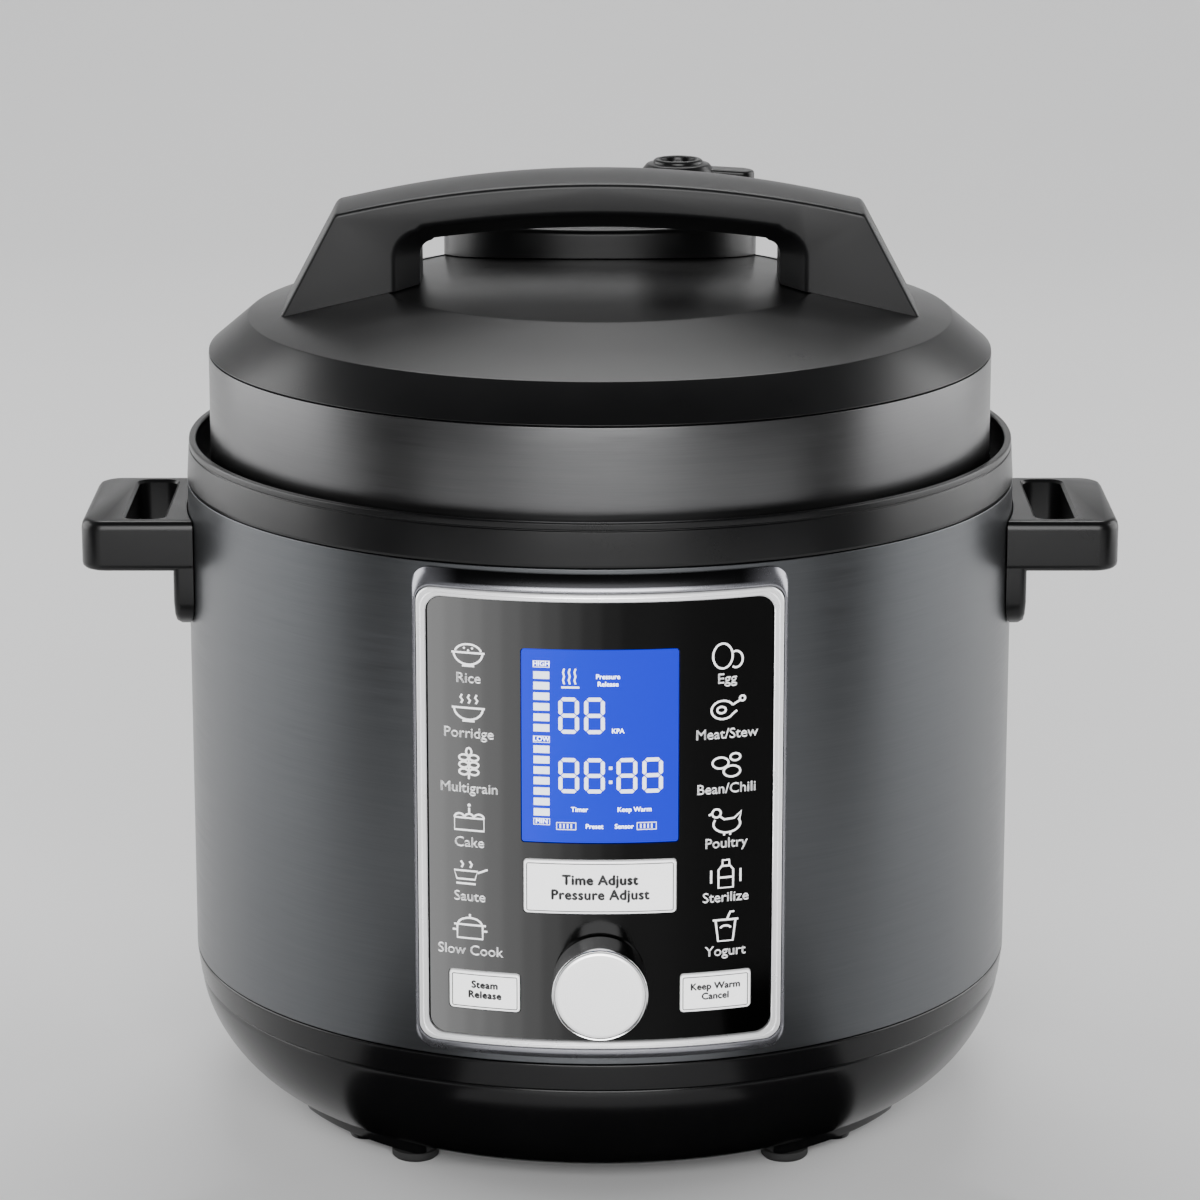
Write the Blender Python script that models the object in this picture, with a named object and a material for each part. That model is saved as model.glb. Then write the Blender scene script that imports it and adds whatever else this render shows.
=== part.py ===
"""Electric pressure cooker: the design, as separate solids in one frame.

The axis of the pot is the Z axis, the feet stand on z = 0, and the control panel faces -Y.
Sizes below are in millimetres; solid() turns them into metres.
"""

import math

import bmesh
import bpy
from mathutils import Matrix, Vector

MM = 0.001
FACETS = 48  # round every large turned piece, so that nested walls stay parallel
CLEARANCE = 0.3  # between pieces that sit against each other

# Body
BODY_R = 134.0
SHELL_WALL = 1.0
SHELL_Z = (50.3, 206.4)
BASE_TOP_Z = 50.0
BOWL_TOP = (132.9, 40.8)  # radius and height where the bowl leaves the band
BOWL_FOOT = (103.8, 6.7)
BOWL_POWER = 1.25
BASE_WALL = 2.8
COLLAR_TOP_Z = 220.3
LINER_R = 116.5
LINER_TOP_Z = 211.0
POT_R = 113.3
POT_RIM_Z = 212.6
POT_FLOOR_Z = 68.9

# Underside
FOOT_AT = (59.0, 80.0)
FOOT_HEIGHT = 3.0
FOOT_BLOCK_R = (95.0, 107.0)
FOOT_BLOCK_DEGREES = (25.0, 57.5)
COVER_SCREW_R = 80.0
COVER_SCREW_DEGREES = (90.0, 210.0, 330.0)
COVER_R = 84.0
COVER_Z = (4.4, 6.4)
POST_AT = (45.0, 28.0)
BOARD_Z = (24.0, 25.6)

# Bayonet
LUG_COUNT = 6
LUG_R = 122.0
LUG_ROOT_R = 117.8
TAB_R = 119.3
TAB_ROOT_R = 123.2

# Lid
LID_R = 126.3
BAND_TOP_Z = 248.0
COVER_EDGE = (113.6, 259.3)
DOME_EDGE = (71.0, 269.2)
DOME_RISE = 3.5
GRIP_HALF_WIDTH = 22.0
GRIP_CREST_Z = 306.8
GRIP_EDGE_Z = 303.9
GRIP_RAKE = 2.2  # how much lower the top's back edge is than its front edge
HOUSING_CENTRE = (0.0, 52.8)
HOUSING_RADII = (52.0, 30.0)
HOUSING_TOP_Z = 281.8
STEAM_VALVE_AT = (26.0, 60.0)
FLOAT_VALVE_AT = (-26.0, 60.0)
HANDLE_SCREW_X = 80.0

# Side handles
SIDE_OUT = 166.5
SIDE_HALF_WIDTH = 33.0
SIDE_TOP_Z = 197.0
SIDE_BAR_Z = 180.5
SIDE_SCREW_Z = 171.0

# Control panel, as seen from the front
PANEL_BACK_R = 134.3
PANEL_HALF = 56.7
PANEL_Z = (52.5, 205.0)
TRIM_HALF = 55.35
TRIM_Z = (56.5, 199.5)
FASCIA_HALF = 52.2
FASCIA_Z = (59.0, 196.7)
FASCIA_R = 136.5
DISPLAY_HALF = 23.6
DISPLAY_Z = (122.0, 182.0)
ADJUST_HALF = 23.1
ADJUST_Z = (99.6, 116.4)
BUTTON_X = 35.2
BUTTON_HALF = 10.8
BUTTON_Z = (67.4, 79.4)
BUTTON_FRONT_R = 137.3
KNOB_Z = 78.4
KNOB_R = 14.3
KNOB_FRONT = 151.5
BOARD_Y = (-119.6, -118.0)
SWITCH_TOP = 123.9

# Back
CUP_BACK = 151.5
CUP_HALF = 23.3
CUP_Z = (152.0, 192.0)
INLET_HALF = 16.2
INLET_Z = (17.0, 43.2)

FINISHES = {
    "brushed_steel": ((0.40, 0.41, 0.42), 0.32, 1.0),
    "bright_steel": ((0.72, 0.72, 0.73), 0.22, 1.0),
    "pot_steel": ((0.66, 0.66, 0.66), 0.28, 1.0),
    "black_plastic": ((0.018, 0.018, 0.02), 0.42, 0.0),
    "handle_plastic": ((0.03, 0.03, 0.032), 0.5, 0.0),
    "gloss_black": ((0.006, 0.006, 0.007), 0.12, 0.0),
    "grey_plastic": ((0.36, 0.36, 0.39), 0.38, 0.2),
    "chrome": ((0.85, 0.85, 0.86), 0.08, 1.0),
    "satin_silver": ((0.66, 0.66, 0.67), 0.3, 0.6),
    "window": ((0.05, 0.12, 0.9), 0.1, 0.0),
    "clear_plastic": ((0.72, 0.76, 0.78), 0.15, 0.0),
    "rubber": ((0.03, 0.03, 0.03), 0.85, 0.0),
    "silicone": ((0.78, 0.78, 0.75), 0.6, 0.0),
    "aluminium": ((0.7, 0.7, 0.71), 0.4, 1.0),
    "circuit_board": ((0.03, 0.16, 0.07), 0.5, 0.0),
    "component": ((0.05, 0.05, 0.055), 0.45, 0.0),
    "zinc": ((0.6, 0.6, 0.6), 0.35, 1.0),
}


def clear_scene():
    for obj in list(bpy.data.objects):
        bpy.data.objects.remove(obj, do_unlink=True)


def finish(name):
    """The finish's material, made once."""
    found = bpy.data.materials.get(name)
    if found:
        return found
    colour, roughness, metallic = FINISHES[name]
    made = bpy.data.materials.new(name)
    made.use_nodes = True
    shader = made.node_tree.nodes["Principled BSDF"]
    shader.inputs["Base Color"].default_value = (*colour, 1.0)
    shader.inputs["Roughness"].default_value = roughness
    shader.inputs["Metallic"].default_value = metallic
    return made


def solid(name, mesh, finish_name, origin=(0, 0, 0), sharp_degrees=30):
    """Turn a bmesh in millimetres into an object in metres whose origin is on its joint."""
    bmesh.ops.remove_doubles(mesh, verts=mesh.verts, dist=0.002)
    bmesh.ops.recalc_face_normals(mesh, faces=mesh.faces)
    bmesh.ops.transform(mesh, matrix=Matrix.Translation(-Vector(origin)), verts=mesh.verts)
    bmesh.ops.transform(mesh, matrix=Matrix.Scale(MM, 4), verts=mesh.verts)
    data = bpy.data.meshes.new(name)
    mesh.to_mesh(data)
    mesh.free()
    data.shade_smooth()
    data.set_sharp_from_angle(angle=math.radians(sharp_degrees))
    if finish_name:
        data.materials.append(finish(finish_name))
    obj = bpy.data.objects.new(name, data)
    obj.location = Vector(origin) * MM
    bpy.context.collection.objects.link(obj)
    return obj


def turned_mesh(profile, facets=FACETS, centre=(0, 0)):
    """Spin a profile of (radius, height) points, given outer side first, about a vertical axis."""
    mesh = bmesh.new()
    points = [mesh.verts.new((radius, 0, height)) for radius, height in profile]
    edges = [mesh.edges.new(pair) for pair in zip(points, points[1:])]
    if profile[0][0] > 0:
        edges.append(mesh.edges.new((points[-1], points[0])))
    bmesh.ops.spin(mesh, geom=points + edges, cent=(0, 0, 0), axis=(0, 0, 1),
                   angle=2 * math.pi, steps=facets, use_duplicate=False)
    bmesh.ops.remove_doubles(mesh, verts=mesh.verts, dist=0.002)
    bmesh.ops.translate(mesh, vec=(*centre, 0), verts=mesh.verts)
    return mesh


def turned(name, profile, finish_name, facets=FACETS, centre=(0, 0), origin=(0, 0, 0)):
    return solid(name, turned_mesh(profile, facets, centre), finish_name, origin)


def loft_mesh(loops, cyclic=False, mesh=None):
    """Join loops of equal length by faces. A cyclic loft closes on itself; others get end caps."""
    mesh = mesh or bmesh.new()
    rings = [[mesh.verts.new(point) for point in loop] for loop in loops]
    pairs = list(zip(rings, rings[1:]))
    if cyclic:
        pairs.append((rings[-1], rings[0]))
    for low, high in pairs:
        for k in range(len(low)):
            n = (k + 1) % len(low)
            mesh.faces.new((low[k], low[n], high[n], high[k]))
    if not cyclic:
        mesh.faces.new(rings[0])
        mesh.faces.new(rings[-1])
    return mesh


def rounded(half_u, half_v, radius, centre=(0, 0), steps=2):
    """A rectangle with round corners, as (u, v) points, anticlockwise."""
    points = []
    for quarter, (su, sv) in enumerate(((1, 1), (-1, 1), (-1, -1), (1, -1))):
        for k in range(steps + 1):
            angle = math.radians(90 * (quarter + k / steps))
            u = centre[0] + su * (half_u - radius) + radius * math.cos(angle)
            v = centre[1] + sv * (half_v - radius) + radius * math.sin(angle)
            points.append((u, v))
    return points


def box_mesh(x, y, z, mesh=None):
    """A box from its (low, high) pairs."""
    corners = ((x[0], y[0]), (x[1], y[0]), (x[1], y[1]), (x[0], y[1]))
    return loft_mesh([[(u, v, height) for u, v in corners] for height in z], mesh=mesh)


def rod_mesh(centre, radius, span, axis="Z", facets=8, mesh=None):
    """A prism round an axis: centre gives the two other coordinates, span its ends."""
    loops = []
    for end in span:
        loop = []
        for k in range(facets):
            angle = 2 * math.pi * k / facets
            u = centre[0] + radius * math.cos(angle)
            v = centre[1] + radius * math.sin(angle)
            loop.append({"X": (end, u, v), "Y": (u, end, v), "Z": (u, v, end)}[axis])
        loops.append(loop)
    return loft_mesh(loops, mesh=mesh)


def screw(name, centre, heights, radii, axis="Z", facets=8):
    """A screw: heights are the head's outer face, the head's inner face and the tip."""
    head_r, shaft_r = radii
    loops = []
    for end, radius in ((heights[0], head_r), (heights[1], head_r), (heights[1], shaft_r),
                        (heights[2], shaft_r)):
        loop = []
        for k in range(facets):
            angle = 2 * math.pi * k / facets
            u = centre[0] + radius * math.cos(angle)
            v = centre[1] + radius * math.sin(angle)
            loop.append({"X": (end, u, v), "Z": (u, v, end)}[axis])
        loops.append(loop)
    return solid(name, loft_mesh(loops), "zinc")


def modify(target, tool_mesh, operation="DIFFERENCE"):
    """Cut a bmesh out of the target, or join it on, and hide the tool object."""
    tool = solid(f"{target.name}_tool_{len(target.modifiers) + 1}", tool_mesh, None)
    tool.hide_render = True
    tool.display_type = "WIRE"
    boolean = target.modifiers.new(tool.name, "BOOLEAN")
    boolean.object = tool
    boolean.operation = operation
    boolean.solver = "EXACT"


def on_front(mesh, columns=8):
    """Wrap a flat panel round the body: y is its radius before, and its place after."""
    low = min(vert.co.x for vert in mesh.verts)
    high = max(vert.co.x for vert in mesh.verts)
    for k in range(1, columns):
        everything = list(mesh.verts) + list(mesh.edges) + list(mesh.faces)
        place = (low + (high - low) * k / columns, 0, 0)
        bmesh.ops.bisect_plane(mesh, geom=everything, plane_co=place, plane_no=(1, 0, 0))
    for vert in mesh.verts:
        vert.co.y = -math.sqrt(vert.co.y ** 2 - vert.co.x ** 2)
    return mesh


def outline_at(points, radius):
    return [(u, radius, v) for u, v in points]


def between(low, high):
    """Centre and half height of a (low, high) pair."""
    return (low + high) / 2, (high - low) / 2


# ---------------------------------------------------------------- base

def bowl(top, foot, steps=4):
    """The bowl's side, as a superellipse quarter from its top down to its foot."""
    points = []
    for k in range(steps + 1):
        angle = math.radians(90 * k / steps)
        across = max(math.cos(angle), 0.0) ** BOWL_POWER
        down = math.sin(angle) ** BOWL_POWER
        points.append((foot[0] + (top[0] - foot[0]) * across, top[1] - (top[1] - foot[1]) * down))
    return points


def mirrored_corners(point):
    return [(sx * point[0], sy * point[1]) for sx, sy in ((1, 1), (-1, 1), (-1, -1), (1, -1))]


def cover_screw_places():
    angles = [math.radians(degrees) for degrees in COVER_SCREW_DEGREES]
    return [(COVER_SCREW_R * math.cos(a), COVER_SCREW_R * math.sin(a)) for a in angles]


def foot_blocks():
    """Four arc-shaped blocks under the bowl, in one mesh."""
    mesh = bmesh.new()
    first, last = FOOT_BLOCK_DEGREES
    for start, end in ((first, last), (180 - last, 180 - first),
                       (180 + first, 180 + last), (360 - last, 360 - first)):
        plan = []
        for radius, ends in ((FOOT_BLOCK_R[0], (start, end)), (FOOT_BLOCK_R[1], (end, start))):
            for k in range(4):
                angle = math.radians(ends[0] + (ends[1] - ends[0]) * k / 3)
                plan.append((radius * math.cos(angle), radius * math.sin(angle)))
        block_z = (FOOT_HEIGHT + CLEARANCE, BOWL_FOOT[1] + BASE_WALL - 1)
        loft_mesh([[(x, y, z) for x, y in plan] for z in block_z], mesh=mesh)
    return mesh


def make_base():
    inner_top = (BOWL_TOP[0] - 3.0, BOWL_TOP[1])
    inner_foot = (BOWL_FOOT[0] - 1.3, BOWL_FOOT[1] + BASE_WALL)
    hole_r = COVER_R - 8
    lip = (129.9, 132.3)
    profile = [(BODY_R, BASE_TOP_Z)] + bowl(BOWL_TOP, BOWL_FOOT)
    profile += [(hole_r, BOWL_FOOT[1]), (hole_r, inner_foot[1])]
    profile += bowl(inner_top, inner_foot)[::-1]
    profile += [(lip[0], BASE_TOP_Z + 6), (lip[1], BASE_TOP_Z + 6), (lip[1], BASE_TOP_Z)]
    base = turned("base_shell", profile, "black_plastic")
    modify(base, foot_blocks(), "UNION")
    holes = box_mesh((-INLET_HALF - 0.4, INLET_HALF + 0.4), (90, 140),
                     (INLET_Z[0] - 0.4, INLET_Z[1] + 0.4))
    for place in cover_screw_places():
        rod_mesh(place, 1.9, (2, 12), mesh=holes)
    modify(base, holes)

    cover = turned("bottom_cover", [(0, COVER_Z[1]), (COVER_R, COVER_Z[1]), (COVER_R, COVER_Z[0]),
                                    (0, COVER_Z[0])], "black_plastic")
    posts = bmesh.new()
    for place in mirrored_corners(POST_AT):
        rod_mesh(place, 3.5, (COVER_Z[1] - 1, BOARD_Z[0] - CLEARANCE), mesh=posts)
    modify(cover, posts, "UNION")
    openings = bmesh.new()
    for row in range(-3, 4):
        box_mesh((8 * row - 1.5, 8 * row + 1.5), (-22, 22), (2, 12), mesh=openings)
    for place in cover_screw_places():
        rod_mesh(place, 1.9, (2, 12), mesh=openings)
    modify(cover, openings)

    for number, place in enumerate(cover_screw_places(), 1):
        heights = (COVER_Z[0] - 1.5, COVER_Z[0] - CLEARANCE, BOWL_FOOT[1] + 2)
        screw(f"cover_screw_{number}", place, heights, (3.0, 1.5))
    for number, place in enumerate(mirrored_corners(FOOT_AT), 1):
        mesh = rod_mesh(place, 7.5, (0, FOOT_HEIGHT), facets=12)
        solid(f"rubber_foot_{number}", mesh, "rubber")


def make_power_parts():
    solid("power_board", box_mesh((-52, 52), (-34, 34), BOARD_Z), "circuit_board")
    board_top = BOARD_Z[1] + CLEARANCE
    solid("relay", box_mesh((20, 39), (10, 25.5), (board_top, 41.5)), "component")
    transformer = box_mesh((-46, -20), (-10, 14), (board_top, 44))
    core = solid("transformer", transformer, "component")
    modify(core, box_mesh((-50, -40), (-20, 30), (38, 50)))

    plan = rounded(INLET_HALF, (INLET_Z[1] - INLET_Z[0]) / 2, 3.0, (0, sum(INLET_Z) / 2))
    mouth = rounded(12.1, 8.3, 2.5, (0, sum(INLET_Z) / 2))
    loops = [[(u, y, v) for u, v in points] for points, y in
             ((plan, 101.0), (plan, 131.5), (mouth, 131.5), (mouth, 112.0))]
    solid("power_inlet", loft_mesh(loops), "black_plastic")
    for name, x, z in (("line", -7, 28.6), ("neutral", 7, 28.6), ("earth", 0, 32.4)):
        pin = box_mesh((x - 1, x + 1), (112.3, 127), (z - 2.1, z + 2.1))
        solid(f"inlet_pin_{name}", pin, "zinc")


# ---------------------------------------------------------------- body

def make_body():
    inner_r = BODY_R - SHELL_WALL
    shell = turned("body_shell", [(BODY_R, SHELL_Z[1]), (BODY_R, SHELL_Z[0]),
                                  (inner_r, SHELL_Z[0]), (inner_r, SHELL_Z[1])], "brushed_steel")
    cut = box_mesh((-51, 51), (-140, -100), (57.5, 197.8))
    for side in (-1, 1):
        ends = sorted((side * 125.0, side * 140.0))
        rod_mesh((0, SIDE_SCREW_Z), 1.9, ends, axis="X", mesh=cut)
    modify(shell, cut)

    top = COLLAR_TOP_Z
    turned("top_collar", [(133.3, top), (BODY_R, 206.7), (132.6, 206.7), (132.6, 198.0),
                          (118.3, 198.0), (118.3, 200.5), (130.6, 200.5), (130.6, top)],
           "black_plastic")


def spread(mesh, radius, heights, new_radius, first_degrees):
    """Move the ring at one radius out or in over the bayonet's sectors, one facet for each ramp."""
    pitch = 360 / LUG_COUNT
    ramp = 360 / FACETS
    for vert in mesh.verts:
        reach = math.hypot(vert.co.x, vert.co.y)
        if abs(reach - radius) > 0.05 or not heights[0] <= vert.co.z <= heights[1]:
            continue
        degrees = math.degrees(math.atan2(vert.co.y, vert.co.x)) - first_degrees
        from_middle = abs((degrees + pitch / 2) % pitch - pitch / 2)
        if from_middle < ramp * spread_facets(new_radius > radius):
            vert.co.x *= new_radius / reach
            vert.co.y *= new_radius / reach


def spread_facets(is_lug):
    """Half the facets that a lug or a tab takes, to the foot of its ramps."""
    return 2.1 if is_lug else 0.6


def make_pots():
    liner_in = LINER_R - 1.0
    mesh = turned_mesh([
        (LUG_ROOT_R, LINER_TOP_Z), (LUG_ROOT_R, 209.5), (LINER_R, 209.5), (LINER_R, 202.2),
        (130.1, 202.2), (130.1, 200.8), (LINER_R, 200.8), (LINER_R, 52.2), (114.3, 50.0),
        (32.5, 50.0), (32.5, 51.2), (113.8, 51.2), (liner_in, 52.9), (liner_in, LINER_TOP_Z)])
    spread(mesh, LUG_ROOT_R, (209.0, 212.0), LUG_R, 0)
    solid("outer_pot", mesh, "bright_steel")

    turned("inner_pot", [
        (0, POT_FLOOR_Z + 1.5), (103.4, POT_FLOOR_Z + 1.5), (112.0, 80.6), (112.0, 209.0),
        (113.0, POT_RIM_Z), (118.2, POT_RIM_Z), (118.2, LINER_TOP_Z + 0.4),
        (113.9, LINER_TOP_Z + 0.4), (POT_R, 208.0), (POT_R, 80.0), (104.0, POT_FLOOR_Z),
        (0, POT_FLOOR_Z)], "pot_steel")

    turned("heating_plate", [
        (96.5, 68.4), (100.0, 66.8), (100.0, 60.3), (91.0, 60.3), (91.0, 51.5), (88.0, 51.5),
        (88.0, 60.3), (14.5, 60.3), (14.5, 68.4)], "aluminium")
    tube = [(62.0 + 3.4 * math.cos(math.radians(60 * k)), 56.3 + 3.4 * math.sin(math.radians(60 * k)))
            for k in range(6)]
    turned("heating_element", tube, "zinc", facets=24)
    turned("temperature_sensor", [
        (0, 68.5), (10.5, 68.5), (12.5, 67.3), (12.5, 58.0), (9.8, 58.0), (9.8, 44.0), (0, 44.0)],
        "aluminium", facets=16)
    turned("sensor_bracket", [(40.0, 49.6), (40.0, 46.6), (10.4, 46.6), (10.4, 49.6)], "zinc",
           facets=16)


# ---------------------------------------------------------------- handles on the body

def bracket_loop(z, half_width, out, corner, quarter_turns, inner_r=BODY_R + 0.4):
    """A plan outline that hugs the body on its inner side and is squared off on its outer side."""
    points = []
    for k in range(5):
        v = half_width * (k / 2 - 1)
        points.append((math.sqrt(inner_r ** 2 - v ** 2), v))
    for side in (1, -1):
        for k in range(3):
            angle = math.radians(45 * k)
            ahead, aside = (math.sin(angle), math.cos(angle))[::side]
            u = out - corner + corner * ahead
            v = side * (half_width - corner + corner * aside)
            points.append((u, v))
    turn = Matrix.Rotation(math.radians(90 * quarter_turns), 3, "Z")
    return [tuple(turn @ Vector((u, v, z))) for u, v in points]


def bracket(name, levels, shelf_levels, quarter_turns, finish_name):
    """A plate on the body, with a shelf that stands out of it joined on."""
    plate = solid(name, loft_mesh([bracket_loop(*level, quarter_turns) for level in levels]),
                  finish_name)
    shelf_r = BODY_R + 0.5
    shelf = loft_mesh([bracket_loop(*level, quarter_turns, shelf_r) for level in shelf_levels])
    modify(plate, shelf, "UNION")
    return plate


def make_side_handles():
    h = SIDE_HALF_WIDTH
    plate = [
        (161.7, h - 8, 135.6, 1.0), (163.2, h - 4.5, 136.6, 2.0), (166.0, h - 1.5, 136.8, 2.5),
        (170.0, h - 0.4, 137.0, 2.5), (SIDE_BAR_Z + 6, h - 0.4, 137.0, 2.5)]
    bar = [
        (SIDE_BAR_Z, h - 1, SIDE_OUT - 1.2, 6.0), (SIDE_BAR_Z + 1.2, h, SIDE_OUT, 7.0),
        (SIDE_TOP_Z - 1.5, h, SIDE_OUT, 7.0), (SIDE_TOP_Z, h - 1.2, SIDE_OUT - 1.4, 6.0)]
    for name, turns, side in (("right", 0, 1), ("left", 2, -1)):
        handle = bracket(f"side_handle_{name}", plate, bar, turns, "handle_plastic")
        grip = rounded(6.35, 28.0, 4.0, (side * 146.35, 0))
        hole = loft_mesh([[(x, y, z) for x, y in grip] for z in (175.0, 202.0)])
        ends = sorted((side * 128.0, side * 136.3))
        rod_mesh((0, SIDE_SCREW_Z), 1.8, ends, axis="X", mesh=hole)
        modify(handle, hole)
        screw(f"handle_screw_{name}", (0, SIDE_SCREW_Z),
              (side * 129.8, side * 132.3, side * 136.0), (3.2, 1.4), axis="X")


def make_condensation_cup():
    plate = [(150.0, 24.0, 136.9, 1.0), (152.0, 25.6, 137.5, 1.5), (CUP_Z[1] + 2, 25.6, 137.5, 1.5)]
    hood = [(CUP_Z[1] + 0.4, 26.0, 150.0, 4.0), (CUP_Z[1] + 4.0, 25.5, 149.5, 4.0)]
    bracket("cup_holder", plate, hood, 1, "black_plastic")
    middle, depth = between(137.9, CUP_BACK)
    wall = 1.6
    loops = []
    for inset, z in ((1.0, CUP_Z[0]), (0, CUP_Z[0] + 1.5), (0, CUP_Z[1]), (wall, CUP_Z[1]),
                     (wall, CUP_Z[0] + wall + 0.2)):
        plan = rounded(CUP_HALF - inset, depth - inset, 4.0 - inset, (0, middle))
        loops.append([(x, y, z) for x, y in plan])
    solid("condensation_cup", loft_mesh(loops), "clear_plastic")


# ---------------------------------------------------------------- control panel

def panel_outline(half, z, radius, steps=2):
    centre, half_z = between(*z)
    return rounded(half, half_z, radius, (0, centre), steps)


def panel_frame(name, finish_name, levels):
    """A frame round the panel: levels are (outline, radius), from its outer back inwards."""
    mesh = loft_mesh([outline_at(points, radius) for points, radius in levels], cyclic=True)
    return solid(name, on_front(mesh), finish_name)


def front_plate(name, points, radii, finish_name, columns=8):
    mesh = loft_mesh([outline_at(points, radius) for radius in radii])
    return solid(name, on_front(mesh, columns), finish_name)


def make_panel_frames():
    outer = panel_outline(PANEL_HALF, PANEL_Z, 5.6)
    face = panel_outline(PANEL_HALF - 0.5, (PANEL_Z[0] + 2.5, PANEL_Z[1] - 4.6), 5.4)
    inner = panel_outline(TRIM_HALF + 0.3, (TRIM_Z[0] - 0.3, TRIM_Z[1] + 0.3), 5.2)
    panel_frame("panel_surround", "grey_plastic",
                [(outer, PANEL_BACK_R), (outer, 135.6), (face, 137.0), (inner, 137.0),
                 (inner, PANEL_BACK_R)])
    trim_out = panel_outline(TRIM_HALF, TRIM_Z, 5.0)
    trim_in = panel_outline(FASCIA_HALF + 0.3, (FASCIA_Z[0] - 0.3, FASCIA_Z[1] + 0.3), 5.0)
    panel_frame("chrome_trim", "chrome",
                [(trim_out, PANEL_BACK_R), (trim_out, 137.6), (trim_in, 137.6),
                 (trim_in, PANEL_BACK_R)])
    wall_out = panel_outline(50.5, (58.2, 197.4), 2.0, 1)
    wall_in = panel_outline(48.7, (60.2, 195.4), 1.0, 1)
    loops = [[(u, y, v) for u, v in points] for points, y in
             ((wall_out, -118.0), (wall_out, -124.0), (wall_in, -124.0), (wall_in, -118.0))]
    solid("panel_chassis", loft_mesh(loops, cyclic=True), "black_plastic")


def front_hole(half, z, mesh, centre_x=0):
    clear = 0.3
    return box_mesh((centre_x - half - clear, centre_x + half + clear), (-145, -110),
                    (z[0] - clear, z[1] + clear), mesh=mesh)


def make_fascia():
    fascia = front_plate("control_fascia", panel_outline(FASCIA_HALF, FASCIA_Z, 4.8),
                         (PANEL_BACK_R, FASCIA_R), "gloss_black")
    holes = front_hole(DISPLAY_HALF, DISPLAY_Z, None)
    front_hole(ADJUST_HALF, ADJUST_Z, holes)
    for side in (-1, 1):
        front_hole(BUTTON_HALF, BUTTON_Z, holes, side * BUTTON_X)
    rod_mesh((0, KNOB_Z), 6.0, (-145, -110), axis="Y", facets=12, mesh=holes)
    modify(fascia, holes)
    front_plate("display_window", panel_outline(DISPLAY_HALF, DISPLAY_Z, 0.8, 1),
                (FASCIA_R - 1.3, FASCIA_R - 0.1), "window", 4)
    solid("lcd_module", box_mesh((-27, 27), (-130.4, -119.9), (119.0, 185.0)), "component")


def front_button(name, centre_x, half, z):
    """A curved cap whose stem stops short of its switch by more than its travel."""
    centre, half_z = between(*z)
    points = rounded(half, half_z, 1.2, (centre_x, centre), 1)
    mesh = loft_mesh([outline_at(points, radius) for radius in (132.0, BUTTON_FRONT_R)])
    cap = solid(name, on_front(mesh, 4), "satin_silver")
    stem = box_mesh((centre_x - 3, centre_x + 3), (-BUTTON_FRONT_R + abs(centre_x) / 6, -125.0),
                    (centre - 3, centre + 3))
    modify(cap, stem, "UNION")


def make_controls():
    front_button("adjust_button", 0, ADJUST_HALF, ADJUST_Z)
    front_button("steam_button", -BUTTON_X, BUTTON_HALF, BUTTON_Z)
    front_button("cancel_button", BUTTON_X, BUTTON_HALF, BUTTON_Z)

    facing = Matrix.Translation((0, 0, KNOB_Z)) @ Matrix.Rotation(math.radians(90), 4, "X")
    rim = KNOB_FRONT
    knob = turned_mesh([
        (0, rim - 0.8), (12.8, rim - 0.8), (12.8, rim), (13.4, rim), (KNOB_R, rim - 0.9),
        (KNOB_R, 137.5), (3.0, 137.5), (3.0, 123.0), (0, 123.0)], facets=24)
    face = turned_mesh([(0, rim - 0.1), (12.4, rim - 0.1), (12.4, rim - 0.5), (0, rim - 0.5)],
                       facets=24)
    for name, mesh, finish_name in (("control_knob", knob, "chrome"), ("knob_face", face, "satin_silver")):
        bmesh.ops.transform(mesh, matrix=facing, verts=mesh.verts)
        solid(name, mesh, finish_name, origin=(0, -rim, KNOB_Z))

    board = box_mesh((-48.2, 48.2), BOARD_Y, (62.5, 193.5))
    solid("control_board", board, "circuit_board")
    front = BOARD_Y[0] - CLEARANCE
    encoder = solid("rotary_encoder",
                    box_mesh((-6.5, 6.5), (-127.0, front), (KNOB_Z - 6.5, KNOB_Z + 6.5)), "component")
    modify(encoder, rod_mesh((0, KNOB_Z), 3.5, (-130.0, -121.5), axis="Y", facets=12))
    adjust_z = between(*ADJUST_Z)[0]
    button_z = between(*BUTTON_Z)[0]
    places = ((0, adjust_z), (-BUTTON_X, button_z), (BUTTON_X, button_z))
    for number, (x, z) in enumerate(places, 1):
        loops = []
        for half, y in ((3.0, front), (3.0, -SWITCH_TOP + 0.8), (1.7, -SWITCH_TOP + 0.8),
                        (1.7, -SWITCH_TOP)):
            loops.append([(x + u, y, z + v) for u, v in
                          ((-half, -half), (half, -half), (half, half), (-half, half))])
        solid(f"tact_switch_{number}", loft_mesh(loops), "component")


# ---------------------------------------------------------------- lid

def cover_top(clearance=0.0):
    """The lid cover's upper side, from its centre to its lower edge."""
    dome = []
    for share in (0, 0.5, 1):
        dome.append((DOME_EDGE[0] * share, DOME_EDGE[1] + DOME_RISE * (1 - share ** 2)))
    edge = (LID_R, BAND_TOP_Z + CLEARANCE)
    return [(radius, z + clearance) for radius, z in dome + [COVER_EDGE, edge]]


def cover_cutter():
    """The cover with a clearance over it, for shaping what stands on it."""
    return turned_mesh(cover_top(CLEARANCE) + [(LID_R, 235.0), (0, 235.0)])


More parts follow.
